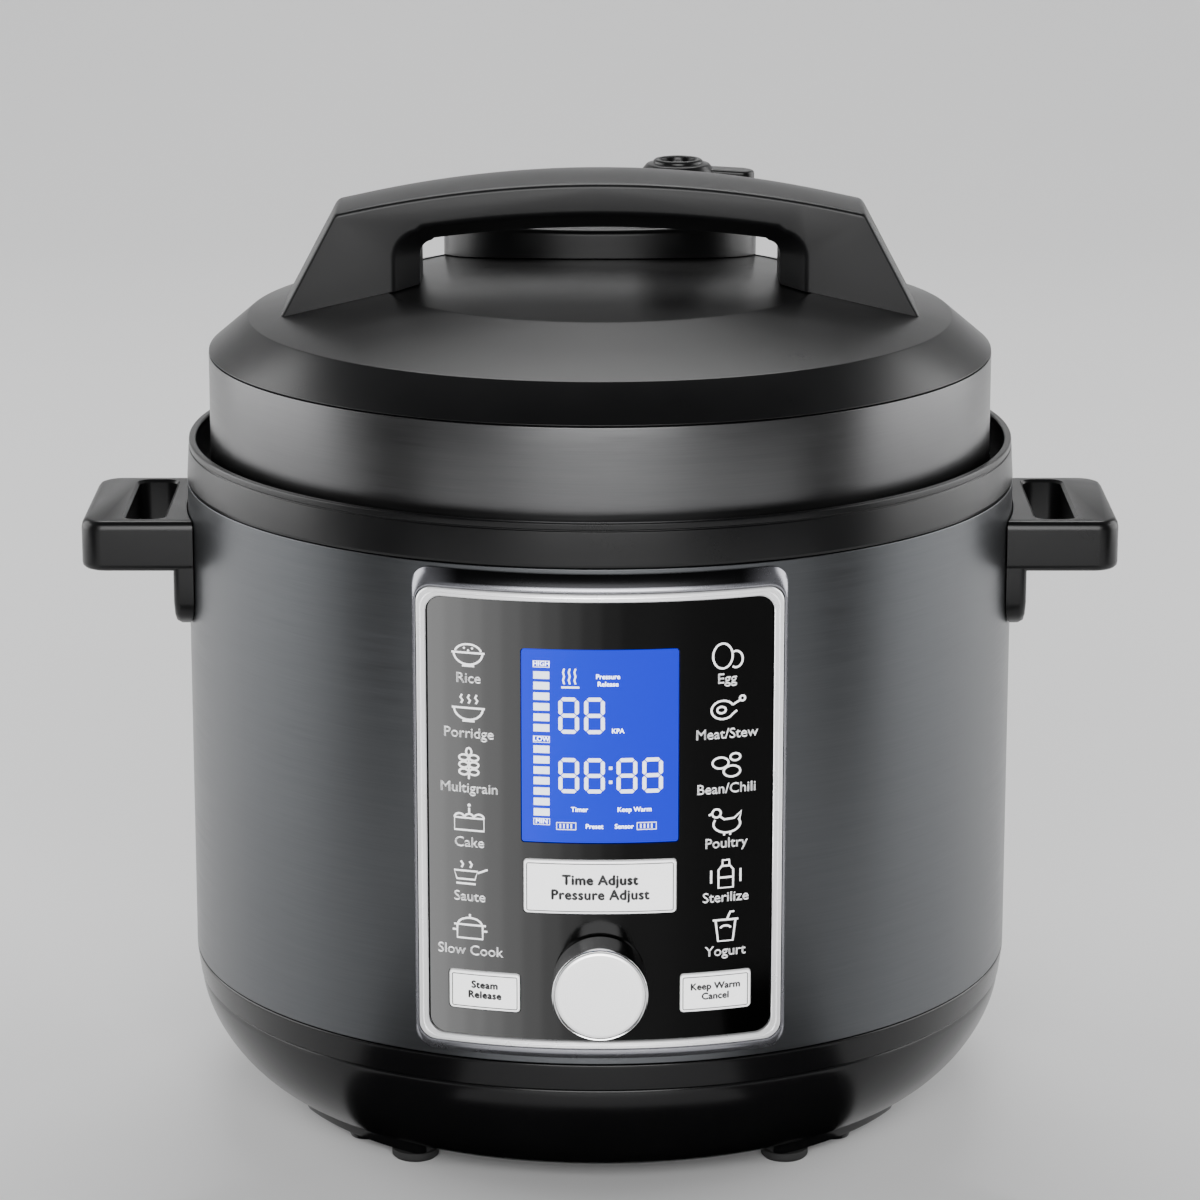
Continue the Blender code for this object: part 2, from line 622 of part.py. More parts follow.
def make_lid_shells():
    turned("lid_band", [(LID_R, BAND_TOP_Z), (LID_R, 208.0), (LID_R - 1.1, 208.0),
                        (LID_R - 1.1, BAND_TOP_Z)], "brushed_steel")
    cover = turned("lid_cover", cover_top() + [
        (124.8, BAND_TOP_Z + CLEARANCE), (124.8, 240.0), (122.8, 240.0), (122.8, 247.2),
        (112.4, 256.6), (70.6, 266.5), (0, 269.9)], "black_plastic")
    holes = rod_mesh(STEAM_VALVE_AT, 5.4, (230, 290), facets=12)
    rod_mesh(FLOAT_VALVE_AT, 5.0, (230, 290), facets=12, mesh=holes)
    for side in (-1, 1):
        rod_mesh((side * HANDLE_SCREW_X, 0), 2.2, (230, 290), mesh=holes)
    modify(cover, holes)

    mesh = turned_mesh([
        (0, 224.0), (116.0, 224.0), (122.5, 221.5), (124.7, 218.0), (124.7, 205.5),
        (TAB_ROOT_R, 205.5), (TAB_ROOT_R, 207.4), (TAB_ROOT_R, 207.6), (TAB_ROOT_R, 217.5),
        (121.5, 220.3), (115.5, 222.6), (0, 222.6)])
    spread(mesh, TAB_ROOT_R, (205.0, 207.5), TAB_R, 180 / LUG_COUNT)
    steel = solid("steel_lid", mesh, "bright_steel")
    holes = rod_mesh(STEAM_VALVE_AT, 4.7, (215, 230), facets=12)
    rod_mesh(FLOAT_VALVE_AT, 3.2, (215, 230), facets=12, mesh=holes)
    modify(steel, holes)

    turned("sealing_ring", [(121.8, 217.5), (121.8, 212.9), (112.5, 212.9), (112.0, 215.0),
                            (113.5, 218.8), (120.3, 218.8)], "silicone")
    turned("lid_nut", [(0, 222.3), (9.0, 222.3), (9.0, 219.0), (6.0, 216.5), (0, 216.5)], "zinc",
           facets=12)


def grip_top(x, y):
    """Height of the handle's crowned top, which leans back a little."""
    crest = GRIP_CREST_Z - 10.6 * (x / 85) ** 2
    edge = GRIP_EDGE_Z - 9.5 * (x / 83.7) ** 2
    lean = GRIP_RAKE * (y + GRIP_HALF_WIDTH) / (2 * GRIP_HALF_WIDTH)
    return crest + (edge - crest) * (y / GRIP_HALF_WIDTH) ** 2 - lean


def grip_end(z):
    """Half length of the handle at a height: its ends lean in by 62 degrees."""
    return 102.0 - (z - 261.5) / math.tan(math.radians(62))


def grip_loop(y):
    """The handle's outline at one station across it: over the top, then back under the grip."""
    low = 250.0
    bevel = max(0.0, abs(y) - (GRIP_HALF_WIDTH - 1.2))
    open_share = max(0.0, (abs(y) - 12.0) / (GRIP_HALF_WIDTH - 12.0))
    half = 57.5 + 8.1 * open_share
    corner = 4.6 + 4.4 * open_share
    ceiling = 288.9 + 5.8 * open_share
    half_points = [(grip_end(low) - bevel, low)]
    shoulder = grip_top(82, y) - 4.0 - bevel
    half_points.append((grip_end(shoulder) - bevel, shoulder))
    for x in (81.0, 60.0, 40.0, 20.0):
        half_points.append((x, grip_top(x, y) - bevel))
    under = []
    for x in (26.0, half - corner):
        under.append((x, ceiling - 0.00125 * x ** 2))
    for k in (1, 2):
        angle = math.radians(45 * k)
        height = ceiling - 0.00125 * half ** 2 - corner * (1 - math.cos(angle))
        under.append((half - corner + corner * math.sin(angle), height))
    under.append((half, low))
    right_to_left = half_points + [(0, grip_top(0, y) - bevel)]
    right_to_left += [(-x, z) for x, z in half_points[::-1]]
    left_to_right = [(-x, z) for x, z in under[::-1]] + [(0, ceiling)] + under
    return [(x, y, z) for x, z in right_to_left + left_to_right]


def make_lid_handle():
    stations = (-22.0, -20.8, -12.0, 0.0, 12.0, 20.8, 22.0)
    handle = solid("lid_handle", loft_mesh([grip_loop(y) for y in stations]), "handle_plastic")
    modify(handle, cover_cutter())
    bores = bmesh.new()
    for side in (-1, 1):
        rod_mesh((side * HANDLE_SCREW_X, 0), 2.0, (250, 280), mesh=bores)
    modify(handle, bores)
    for name, side in (("left", -1), ("right", 1)):
        screw(f"lid_handle_screw_{name}", (side * HANDLE_SCREW_X, 0), (260.2, 262.9, 278.0),
              (3.2, 1.6))


def ellipse(z, inset, facets=32):
    points = []
    for k in range(facets):
        angle = 2 * math.pi * k / facets
        points.append((HOUSING_CENTRE[0] + (HOUSING_RADII[0] - inset) * math.cos(angle),
                       HOUSING_CENTRE[1] + (HOUSING_RADII[1] - inset) * math.sin(angle), z))
    return points


def make_valves():
    top = HOUSING_TOP_Z
    loops = [ellipse(top - 2.5, 3), ellipse(250, 3), ellipse(250, 0), ellipse(top - 2, 0),
             ellipse(top, 2)]
    housing = solid("valve_housing", loft_mesh(loops), "gloss_black")
    modify(housing, cover_cutter())
    holes = rod_mesh(STEAM_VALVE_AT, 5.4, (270, 290), facets=12)
    rod_mesh(FLOAT_VALVE_AT, 5.0, (270, 290), facets=12, mesh=holes)
    modify(housing, holes)

    x, y = STEAM_VALVE_AT
    mesh = turned_mesh([
        (0, 299.5), (7.6, 299.5), (8.2, 298.9), (8.2, 298.4), (10.4, 298.0), (12.4, 295.6),
        (12.4, 288.0), (9.0, 286.0), (9.0, top + CLEARANCE), (0, top + CLEARANCE)], 24,
        STEAM_VALVE_AT)
    valve = solid("steam_valve", mesh, "black_plastic", origin=(x, y, top))
    plan = rounded(10.7, 4.8, 4.0, (x + 14.8, y))
    lever = loft_mesh([[(u, v, 291.5) for u, v in plan], [(u, v, 297.2 - 0.06 * (u - x)) for u, v in plan]])
    modify(valve, lever, "UNION")
    modify(valve, rod_mesh(STEAM_VALVE_AT, 4.8, (275, 292), facets=12))
    turned("vent_pipe", [(4.0, 290.0), (4.0, 229.0), (7.0, 229.0), (7.0, 224.3), (4.0, 224.3),
                         (4.0, 214.0), (2.0, 214.0), (2.0, 290.0)], "zinc", 12, STEAM_VALVE_AT)
    turned("anti_block_shield", [(0, 212.0), (10.0, 212.0), (10.0, 222.3), (11.0, 222.3),
                                 (11.0, 211.0), (0, 211.0)], "bright_steel", 16, STEAM_VALVE_AT)
    turned("float_valve", [(0, 281.4), (4.2, 281.4), (4.2, 277.5), (2.5, 276.0), (2.5, 213.2),
                           (4.0, 213.2), (4.0, 212.0), (0, 212.0)], "zinc", 12, FLOAT_VALVE_AT)
    turned("float_seal", [(6.5, 216.5), (6.5, 213.5), (2.9, 213.5), (2.9, 216.5)], "silicone", 12,
           FLOAT_VALVE_AT)


def main():
    clear_scene()
    make_base()
    make_power_parts()
    make_body()
    make_pots()
    make_side_handles()
    make_condensation_cup()
    make_panel_frames()
    make_fascia()
    make_controls()
    make_lid_shells()
    make_lid_handle()
    make_valves()


main()
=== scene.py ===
# %% [markdown]
# # An electric pressure cooker
#
# The solids of this cooker come from a CAD model: their sizes, mounts and joints are settled there.
# This lesson gives them their looks. Nearly every shell is turned or moulded with soft edges, so each
# one is worked out again as a finer surface, and then gets a finish made of shader nodes. We work in
# millimetres, as a maker would, and turn them into metres when a mesh is made.

# %% Load the frame
import math

import bmesh
import bpy
import numpy as np
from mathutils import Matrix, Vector


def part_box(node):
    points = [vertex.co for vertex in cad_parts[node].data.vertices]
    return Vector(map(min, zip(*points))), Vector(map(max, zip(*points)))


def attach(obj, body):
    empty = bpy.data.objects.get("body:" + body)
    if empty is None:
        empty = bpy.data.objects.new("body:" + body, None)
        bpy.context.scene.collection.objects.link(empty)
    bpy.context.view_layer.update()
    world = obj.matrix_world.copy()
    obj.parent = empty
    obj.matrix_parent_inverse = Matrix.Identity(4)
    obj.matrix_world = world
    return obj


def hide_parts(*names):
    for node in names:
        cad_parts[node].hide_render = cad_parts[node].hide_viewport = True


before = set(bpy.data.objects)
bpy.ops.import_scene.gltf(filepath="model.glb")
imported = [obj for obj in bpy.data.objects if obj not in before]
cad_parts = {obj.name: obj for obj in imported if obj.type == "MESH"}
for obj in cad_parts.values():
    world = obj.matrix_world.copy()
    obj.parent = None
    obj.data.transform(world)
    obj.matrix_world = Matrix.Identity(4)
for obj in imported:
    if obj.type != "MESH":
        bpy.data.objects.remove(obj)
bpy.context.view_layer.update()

MM = 0.001


def span(node, axis):
    """The lowest and highest coordinate of a CAD node along an axis, in millimetres."""
    low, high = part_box(node)
    return low[axis] / MM, high[axis] / MM


BODY_R = span("body_shell", 0)[1]
SHELL_Z = span("body_shell", 2)
LID_R = span("lid_band", 0)[1]
print("body radius", round(BODY_R, 2), "lid radius", round(LID_R, 2), "shell", SHELL_Z)

# %% [markdown]
# ## Camera
#
# The cooker is seen from a little above, square to its panel, through a long lens. The camera comes
# first because everything that follows is judged through it.

# %% Camera
CAMERA_PLACE = (0.0, -1.4696, 0.5378)
CAMERA_PITCH = 14.311  # degrees below the horizon
CAMERA_LENS = 138.6

camera_data = bpy.data.cameras.new("camera")
camera_data.lens = CAMERA_LENS
camera_data.sensor_width = 36.0


def link(name, data):
    """A new object in the scene, at the origin."""
    made = bpy.data.objects.new(name, data)
    bpy.context.scene.collection.objects.link(made)
    return made


camera = link("camera", camera_data)
camera.location = CAMERA_PLACE
camera.rotation_euler = (math.radians(90 - CAMERA_PITCH), 0, 0)
bpy.context.scene.camera = camera
print("camera", CAMERA_PLACE, "lens", CAMERA_LENS)

# %% [markdown]
# ## From a grid of points to a mesh
#
# A surface is a function of two parameters. Worked out on a grid, it gives an array with rows, columns
# and three coordinates. Neighbouring grid points make the quads. A closed direction joins its last
# row to its first. Where a row shrinks to a point, its doubles are merged and its quads become
# triangles, so poles need no care of their own.

# %% Meshes from grids
def grid_quads(rows, columns, close_rows, close_columns):
    """Corner numbers of every quad in a grid: (i, j), (i, j+1), (i+1, j+1), (i+1, j)."""
    i = np.arange(rows if close_rows else rows - 1)[:, None]
    j = np.arange(columns if close_columns else columns - 1)[None, :]
    i_next, j_next = (i + 1) % rows, (j + 1) % columns
    corners = [i * columns + j, i * columns + j_next, i_next * columns + j_next, i_next * columns + j]
    return np.stack([np.broadcast_to(c, (len(i), j.shape[1])) for c in corners], -1).reshape(-1, 4)


WELD, SLIVER = 2e-7, 1e-8  # metres
new_pieces = []


def ride(piece, body, replaces=()):
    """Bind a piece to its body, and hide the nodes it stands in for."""
    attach(piece, body)
    if replaces:
        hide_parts(*replaces)
    new_pieces.append(piece)
    return piece


def report():
    """Print the faces of every piece made since the last report."""
    print(", ".join(f"{piece.name} {len(piece.data.polygons)}" for piece in new_pieces))
    new_pieces.clear()


def put(name, points, faces, finish, body, replaces=(), slot=None, smooth=35):
    """Make the object at the origin from points in millimetres, and ride it on its body."""
    data = bpy.data.meshes.new(name)
    data.from_pydata((np.asarray(points, float) * MM).tolist(), [], [list(f) for f in faces])
    mesh = bmesh.new()
    mesh.from_mesh(data)
    bmesh.ops.remove_doubles(mesh, verts=mesh.verts, dist=WELD)
    bmesh.ops.dissolve_degenerate(mesh, edges=mesh.edges, dist=SLIVER)
    bmesh.ops.recalc_face_normals(mesh, faces=mesh.faces)
    mesh.to_mesh(data)
    mesh.free()
    data.shade_smooth()
    data.set_sharp_from_angle(angle=math.radians(smooth))
    data.materials.append(finish)
    return ride(link(name, data), body, replaces)


def end_faces(rows, columns):
    """One flat face over the first row of a grid and one over its last."""
    return [list(range(columns)), list(range((rows - 1) * columns, rows * columns))]


def surface(name, grid, finish, body, replaces=(), close_rows=False, close_columns=False,
            caps=False, **rest):
    """A mesh from a (rows, columns, 3) grid. Caps close the first and last row with a flat face."""
    rows, columns = grid.shape[:2]
    faces = grid_quads(rows, columns, close_rows, close_columns).tolist()
    if caps:
        faces += end_faces(rows, columns)
    return put(name, grid.reshape(-1, 3), faces, finish, body, replaces, **rest)


# %% [markdown]
# ## Soft corners
#
# No moulded or pressed edge is truly sharp. A profile is drawn with a few corners, and each corner is
# then swapped for an arc. Both sides of a corner leave it along unit vectors a and b. An arc of radius
# r touches them at a distance r / tan(half angle), and its centre lies on the line between them at
# r / sin(half angle).

# %% Fillets and profiles
def filleted(corners, radius, steps=4, closed=True):
    """Each corner becomes an arc: centre = corner + bisector * r / sin(half angle)."""
    p = np.asarray(corners, float)
    r = np.broadcast_to(np.asarray(radius, float), (len(p),)).copy()
    before, after = np.roll(p, 1, 0), np.roll(p, -1, 0)
    if not closed:
        r[[0, -1]] = 0
    la = np.linalg.norm(before - p, axis=1)
    lb = np.linalg.norm(after - p, axis=1)
    a, b = (before - p) / la[:, None], (after - p) / lb[:, None]
    half = np.arccos(np.clip((a * b).sum(1), -1, 1)) / 2
    straight = half > math.radians(88.5)
    half = np.clip(half, 0.02, math.radians(89.9))
    reach = np.minimum(r / np.tan(half), 0.49 * np.minimum(la, lb))
    reach = np.where(straight, 0, reach)
    r = reach * np.tan(half)
    bisector = a + b
    bisector /= np.maximum(np.linalg.norm(bisector, axis=1), 1e-9)[:, None]
    centre = p + bisector * (r / np.sin(half))[:, None]
    start, end = p + a * reach[:, None] - centre, p + b * reach[:, None] - centre
    sweep = np.pi - 2 * half
    t = np.linspace(0, 1, steps + 1)[None, :, None]
    w = sweep[:, None, None]
    arc = (np.sin((1 - t) * w) * start[:, None] + np.sin(t * w) * end[:, None]) / np.sin(w)
    points = centre[:, None] + arc
    keep = np.ones(points.shape[:2], bool)
    keep[reach < 1e-6, 1:] = False
    return points[keep]


def turned_grid(profile, segments=192, centre=(0, 0)):
    """A profile of (r, z) carried round the Z axis: x = r cos a, y = r sin a."""
    angle = 2 * np.pi * np.arange(segments) / segments
    r, z = profile[:, :1], profile[:, 1:]
    shape = np.broadcast_shapes(r.shape, angle[None].shape)
    return np.stack([centre[0] + r * np.cos(angle), centre[1] + r * np.sin(angle),
                     np.broadcast_to(z, shape)], -1)


def turned(name, corners, radius, finish, body, replaces=(), segments=192, centre=(0, 0), steps=4,
           **rest):
    """A turned piece from the corners of its profile. One that starts at r = 0 is closed by its poles."""
    ring = corners[0][0] > 0
    profile = filleted(corners, radius, steps, closed=ring)
    grid = turned_grid(profile, segments, centre)
    return surface(name, grid, finish, body, replaces, close_rows=ring, close_columns=True, **rest)


def outline(half_u, half_v, corner, steps=8, along=1, centre=(0, 0)):
    """A rectangle with round corners, as points (u, v) and their outward normals, anticlockwise.

    Each straight side is cut into the same number of parts, whatever the size, so outlines of different
    sizes have as many points as each other and can be joined.
    """
    angle = np.linspace(0, np.pi / 2, steps + 1)
    signs = np.array([(1, 1), (-1, 1), (-1, -1), (1, -1)])
    quarter = np.arange(4)[:, None] * np.pi / 2 + angle[None]
    normal = np.stack([np.cos(quarter), np.sin(quarter)], -1)
    core = np.array([half_u - corner, half_v - corner]) * signs
    points = core[:, None] + corner * normal + np.array(centre)
    t = (np.arange(1, along) / along)[None, :, None]
    straight = points[:, -1:] * (1 - t) + np.roll(points, -1, 0)[:, :1] * t
    straight_normal = np.repeat(normal[:, -1:], along - 1, 1)
    points = np.concatenate([points, straight], 1)
    normal = np.concatenate([normal, straight_normal], 1)
    return points.reshape(-1, 2), normal.reshape(-1, 2)


def on_front(u, r, v):
    """Wrap the front round the body: x = u, y = -sqrt(r^2 - u^2), z = v."""
    u, r, v = np.broadcast_arrays(u, r, v)
    return np.stack([u, -np.sqrt(r ** 2 - u ** 2), v], -1)


def level(flat, z):
    """Flat points (x, y) at the height z."""
    return np.column_stack([flat, np.full(len(flat), float(z))])


def upright(flat, y):
    """Flat points (x, z) at the depth y."""
    return np.column_stack([flat[:, 0], np.full(len(flat), float(y)), flat[:, 1]])


soft_corner = filleted([(0, 1), (0, 0), (1, 0)], 0.4, closed=False)
print("a square corner with a fillet has", len(soft_corner), "points")

# %% [markdown]
# ## Shader maths in Python
#
# A finish is a Principled shader whose inputs vary a little over the surface. Wiring nodes by hand hides
# the idea, so one small class wraps a socket and overloads the operators: `0.3 + 0.1 * grain` adds the
# Math nodes by itself. Every other node comes from one method that takes the node's type, its settings
# and the values or links of its sockets.

# %% A socket that does maths
class Wire:
    """One output socket of a material's node tree, which can be added, multiplied and so on."""

    def __init__(self, finish, socket):
        self.finish, self.socket = finish, socket

    def _math(self, operation, first, second):
        return self.finish.node("ShaderNodeMath", {"operation": operation}, {0: first, 1: second})

    def __add__(self, other):
        return self._math("ADD", self, other)

    def __sub__(self, other):
        return self._math("SUBTRACT", self, other)

    def __rsub__(self, other):
        return self._math("SUBTRACT", other, self)

    def __mul__(self, other):
        return self._math("MULTIPLY", self, other)

    def __pow__(self, other):
        return self._math("POWER", self, other)

    __radd__ = __add__
    __rmul__ = __mul__


class Finish:
    """A material with one Principled shader. Fixed values are set on the shader's own sockets."""

    def __init__(self, name, **fixed):
        self.material = bpy.data.materials.new(name)
        self.material.use_nodes = True
        self.tree = self.material.node_tree
        self.shader = self.tree.nodes["Principled BSDF"]
        for socket, value in fixed.items():
            value = (*value, 1.0) if isinstance(value, tuple) else value
            self.shader.inputs[socket.replace("_", " ")].default_value = value
        colour = fixed.get("Base_Color")
        if colour:
            self.material.diffuse_color = (*colour, 1.0)

    def node(self, kind, settings=None, sockets=None, output=0):
        """Any node: settings are set first, then its sockets get values or links."""
        made = self.tree.nodes.new(kind)
        for key, value in (settings or {}).items():
            setattr(made, key, value)
        for key, value in (sockets or {}).items():
            if isinstance(value, Wire):
                self.tree.links.new(value.socket, made.inputs[key])
            else:
                made.inputs[key].default_value = value
        return Wire(self, made.outputs[output])

    def place(self, stretch=(1, 1, 1), centre=(0, 0, 0)):
        """Object coordinates in millimetres about a centre, stretched along the axes."""
        where = self.node("ShaderNodeTexCoord", output="Object")
        scale = [s / MM for s in stretch]
        shift = [-c * s for c, s in zip(centre, stretch)]
        return self.node("ShaderNodeMapping", {}, {"Vector": where, "Scale": scale, "Location": shift})

    def noise(self, size, stretch=(1, 1, 1), detail=3.0):
        """Soft noise from 0 to 1 whose blots are about size millimetres across."""
        sockets = {"Vector": self.place(stretch), "Scale": 1 / size, "Detail": detail, "Roughness": 0.55}
        return self.node("ShaderNodeTexNoise", {}, sockets)

    def axis(self, number):
        """One of the three Object coordinates, in millimetres."""
        return self.node("ShaderNodeSeparateXYZ", {}, {0: self.place()}, output=number)

    def mix(self, factor, first, second):
        """A colour between two colours."""
        sockets = {0: factor, 6: self.colour(first), 7: self.colour(second)}
        return self.node("ShaderNodeMix", {"data_type": "RGBA"}, sockets, output=2)

    @staticmethod
    def colour(value):
        return (*value, 1.0) if isinstance(value, tuple) else value

    def drive(self, socket, wire):
        self.tree.links.new(wire.socket, self.shader.inputs[socket])

    def bump(self, height, depth):
        """Tilt the normal as if the surface stood depth millimetres higher where height is 1."""
        sockets = {"Height": height, "Distance": depth * MM, "Strength": 1.0}
        self.drive("Normal", self.node("ShaderNodeBump", {}, sockets, output="Normal"))


# %% [markdown]
# ## Finishes
#
# Brushed steel carries fine scratches that all run one way. Noise that is stretched until it is fifty
# times longer than it is high gives them, and the same noise feeds colour, roughness and bump, so
# that the three agree. Moulded plastic has a fine spark-eroded grain, and wide, faint clouds in its
# roughness from handling.

# %% Metals
STREAK = (0.02, 0.02, 1.0)  # a scratch is fifty times longer than it is high
STREAK_SIZE = 0.35


def scaled(colour, factor):
    """A colour made darker or lighter, up to white."""
    return tuple(min(1.0, c * factor) for c in colour)


def brushed_metal(name, colour, roughness, contrast=0.16, depth=0.01):
    """Long thin level streaks, with faint clouds over them."""
    made = Finish(name, Base_Color=colour, Metallic=1.0)
    fine = made.noise(STREAK_SIZE, STREAK, detail=2.0)
    coarse = made.noise(STREAK_SIZE * 6, STREAK, detail=3.0)
    cloud = made.noise(45, detail=1.0)
    grain = fine * 0.6 + coarse * 0.4
    made.drive("Base Color", made.mix(grain, scaled(colour, 1 - contrast), scaled(colour, 1 + contrast)))
    made.drive("Roughness", roughness - 0.06 + 0.16 * grain + 0.05 * cloud)
    made.bump(grain, depth)
    return made.material


def smooth_metal(name, colour, roughness, metallic=1.0):
    """Plated or polished metal: only a fine orange peel and faint smudges."""
    made = Finish(name, Base_Color=colour, Metallic=metallic)
    cloud = made.noise(18, detail=4.0)
    made.drive("Base Color", made.mix(cloud, scaled(colour, 0.96), colour))
    made.drive("Roughness", roughness + 0.06 * cloud)
    made.bump(made.noise(2.5, detail=1.0), 0.004)
    return made.material


def cast_metal(name, colour, roughness, size=0.9, depth=0.05):
    """Cast or zinc-plated metal: a mottled, slightly pitted skin."""
    made = Finish(name, Base_Color=colour, Metallic=1.0)
    speckle = made.noise(size, detail=4.0)
    cloud = made.noise(14, detail=3.0)
    made.drive("Base Color", made.mix(cloud, scaled(colour, 0.8), colour))
    made.drive("Roughness", roughness - 0.05 + 0.15 * speckle + 0.08 * cloud)
    made.bump(speckle, depth)
    return made.material


STEEL = brushed_metal("brushed_body_steel", (0.108, 0.112, 0.118), 0.29)
BAND_STEEL = brushed_metal("brushed_lid_steel", (0.118, 0.118, 0.12), 0.27)
BRIGHT_STEEL = brushed_metal("pressed_steel", (0.66, 0.66, 0.67), 0.2, contrast=0.06, depth=0.004)
CHROME = smooth_metal("chrome_plate", (0.86, 0.86, 0.87), 0.07)
TRIM_CHROME = smooth_metal("trim_plate", (0.86, 0.86, 0.87), 0.25, metallic=0.6)
ZINC = cast_metal("zinc_plate", (0.56, 0.56, 0.57), 0.34, depth=0.02)
COPPER = cast_metal("copper_winding", (0.62, 0.28, 0.13), 0.35, size=0.4)
print("metals", [material.name for material in bpy.data.materials])

# %% Plastics and rubber
def moulded(name, colour, roughness, grain=0.35, depth=0.012, spread=0.08, shine=0.5, lift=0.002):
    """Moulded plastic: fine erosion grain, and clouds of wear in the roughness."""
    made = Finish(name, Base_Color=colour, Specular_IOR_Level=shine)
    speckle = made.noise(grain, detail=2.0)
    cloud = made.noise(30, detail=4.0)
    lighter = tuple(min(1.0, c * 1.35 + lift) for c in colour)
    made.drive("Base Color", made.mix(cloud * 0.7 + speckle * 0.3, colour, lighter))
    made.drive("Roughness", roughness - spread / 2 + spread * cloud + 0.05 * speckle)
    made.bump(speckle, depth)
    return made.material


BLACK_SATIN = moulded("black_satin_plastic", (0.0022, 0.0022, 0.0024), 0.27, depth=0.006, shine=0.34)
HANDLE_BLACK = moulded("handle_matte_plastic", (0.004, 0.004, 0.0043), 0.34, depth=0.01, shine=0.36)
BASE_BLACK = moulded("base_satin_plastic", (0.002, 0.002, 0.0022), 0.2, depth=0.004, shine=0.34)
FASCIA_BLACK = moulded("fascia_glass", (0.0002, 0.0002, 0.0002), 0.1, depth=0.0006, spread=0.03, shine=0.1,
                       lift=0.0001)
SILVER_KEY = moulded("silver_key_plastic", (0.95, 0.95, 0.96), 0.25, depth=0.004)
GREY_PLASTIC = moulded("grey_plastic", (0.2, 0.2, 0.21), 0.4)
RUBBER = moulded("foot_rubber", (0.016, 0.016, 0.016), 0.75, grain=0.6, depth=0.03)
SILICONE = moulded("seal_silicone", (0.72, 0.72, 0.69), 0.48, grain=0.8, depth=0.01)
BOARD_GREEN = moulded("solder_mask", (0.012, 0.10, 0.035), 0.3, grain=1.5, depth=0.02)
CERAMIC_WHITE = moulded("white_component", (0.66, 0.65, 0.6), 0.5)
print("plastics end with", CERAMIC_WHITE.name, "so there are", len(bpy.data.materials), "materials now")

# %% [markdown]
# ## The steel body
#
# The body is a rolled sheet with a window behind the control panel. On a grid of angle and height the
# window is simply a block of quads left out. Solidify then gives the sheet its wall. The grid's rows and
# columns are drawn so that some of them run exactly along the window's edges.

# %% Body shell
def shell_grid(angles, heights, radius):
    """x = radius sin a, y = -radius cos a, so that a = 0 is the middle of the panel."""
    a, z = np.meshgrid(angles, heights)
    return np.stack([radius * np.sin(a), -radius * np.cos(a), z], -1)


WINDOW_HALF = 51.0
WINDOW_Z = (57.5, 197.8)
window_angle = math.asin(WINDOW_HALF / BODY_R)
front_angles = np.linspace(-window_angle, window_angle, 25)
round_angles = np.linspace(window_angle, 2 * np.pi - window_angle, 168)[1:-1]
angles = np.concatenate([front_angles, round_angles])
heights = np.concatenate([[SHELL_Z[0]], [WINDOW_Z[0]], np.linspace(*WINDOW_Z, 9)[1:], [SHELL_Z[1]]])
quads = grid_quads(len(heights), len(angles), False, True)
row, column = np.divmod(np.arange(len(quads)), len(angles))
in_window = (column < 24) & (row >= 1) & (row < 9)
body = put("body_sheet", shell_grid(angles, heights, BODY_R).reshape(-1, 3), quads[~in_window], STEEL,
           "root", ["body_shell"], slot="brushed_steel")
wall = body.modifiers.new("wall", "SOLIDIFY")
wall.thickness, wall.offset = 0.8 * MM, -1
hem = body.modifiers.new("hem", "BEVEL")
hem.width, hem.segments, hem.limit_method, hem.harden_normals = 0.25 * MM, 2, "ANGLE", True
print("body sheet", len(quads) - in_window.sum(), "quads")

# %% [markdown]
# ## Collar
#
# A black ring caps the sheet. It narrows a little upwards, has a thin rounded lip with a fine groove
# where lip and ring were moulded in two colours of tool, and carries a trough inside that catches
# condensed water round the pot.

# %% Collar
COLLAR_Z = span("top_collar", 2)
top = COLLAR_Z[1]
turned("collar_ring", [
    (133.0, top), (133.25, top - 0.4), (133.35, top - 1.9), (132.9, top - 2.3), (133.4, top - 2.7),
    (134.0, 207.6), (133.9, 206.75), (132.6, 206.7), (132.6, 198.0), (118.3, 198.0), (118.3, 200.5),
    (130.6, 200.5), (130.7, top - 2), (131.0, top - 0.4), (131.4, top)],
    [0.3, 0.3, 0.2, 0.2, 0.2, 0.35, 0.2, 0.1, 1, 0.8, 0.8, 1.2, 0.5, 0.3, 0.3], BLACK_SATIN, "root",
    ["top_collar"], segments=256, slot="black_plastic")
report()

# %% [markdown]
# ## Base
#
# The base is a bowl. Its side is a superellipse: radius and height follow cos and sin of one angle,
# raised to a power, which gives a flatter flank than a circle would. Above it a slim band tapers in
# towards the bowl, and a shadow gap parts the band from the steel.

# %% Base shell
def bowl_side(top, foot, power, steps=22):
    """r = foot + (top - foot) cos(a)^power, z = top - (top - foot) sin(a)^power."""
    a = np.linspace(0, np.pi / 2, steps)
    across = np.clip(np.cos(a), 0, 1) ** power
    down = np.sin(a) ** power
    return np.stack([foot[0] + (top[0] - foot[0]) * across, top[1] - (top[1] - foot[1]) * down], 1)


BOWL_POWER = 1.25
band_part = filleted([(132.4, 50.0), (134.0, 50.0), (133.95, 48.9), (132.95, 41.6), (132.3, 40.9)],
                     [0, 0.5, 0.5, 0.3, 0], closed=False)
outside = bowl_side((132.5, 40.3), (103.8, 6.7), BOWL_POWER)
underside = np.array([(103.0, 6.7), (76.0, 6.7), (76.0, 9.5), (101.0, 9.5)])
inside = bowl_side((129.9, 40.8), (102.5, 9.5), BOWL_POWER)[::-1]
lip_part = np.array([(129.9, 56.0), (132.3, 56.0), (132.3, 50.3)])
base_profile = np.concatenate([band_part, outside, underside, inside, lip_part])
base_grid = turned_grid(base_profile, 256)

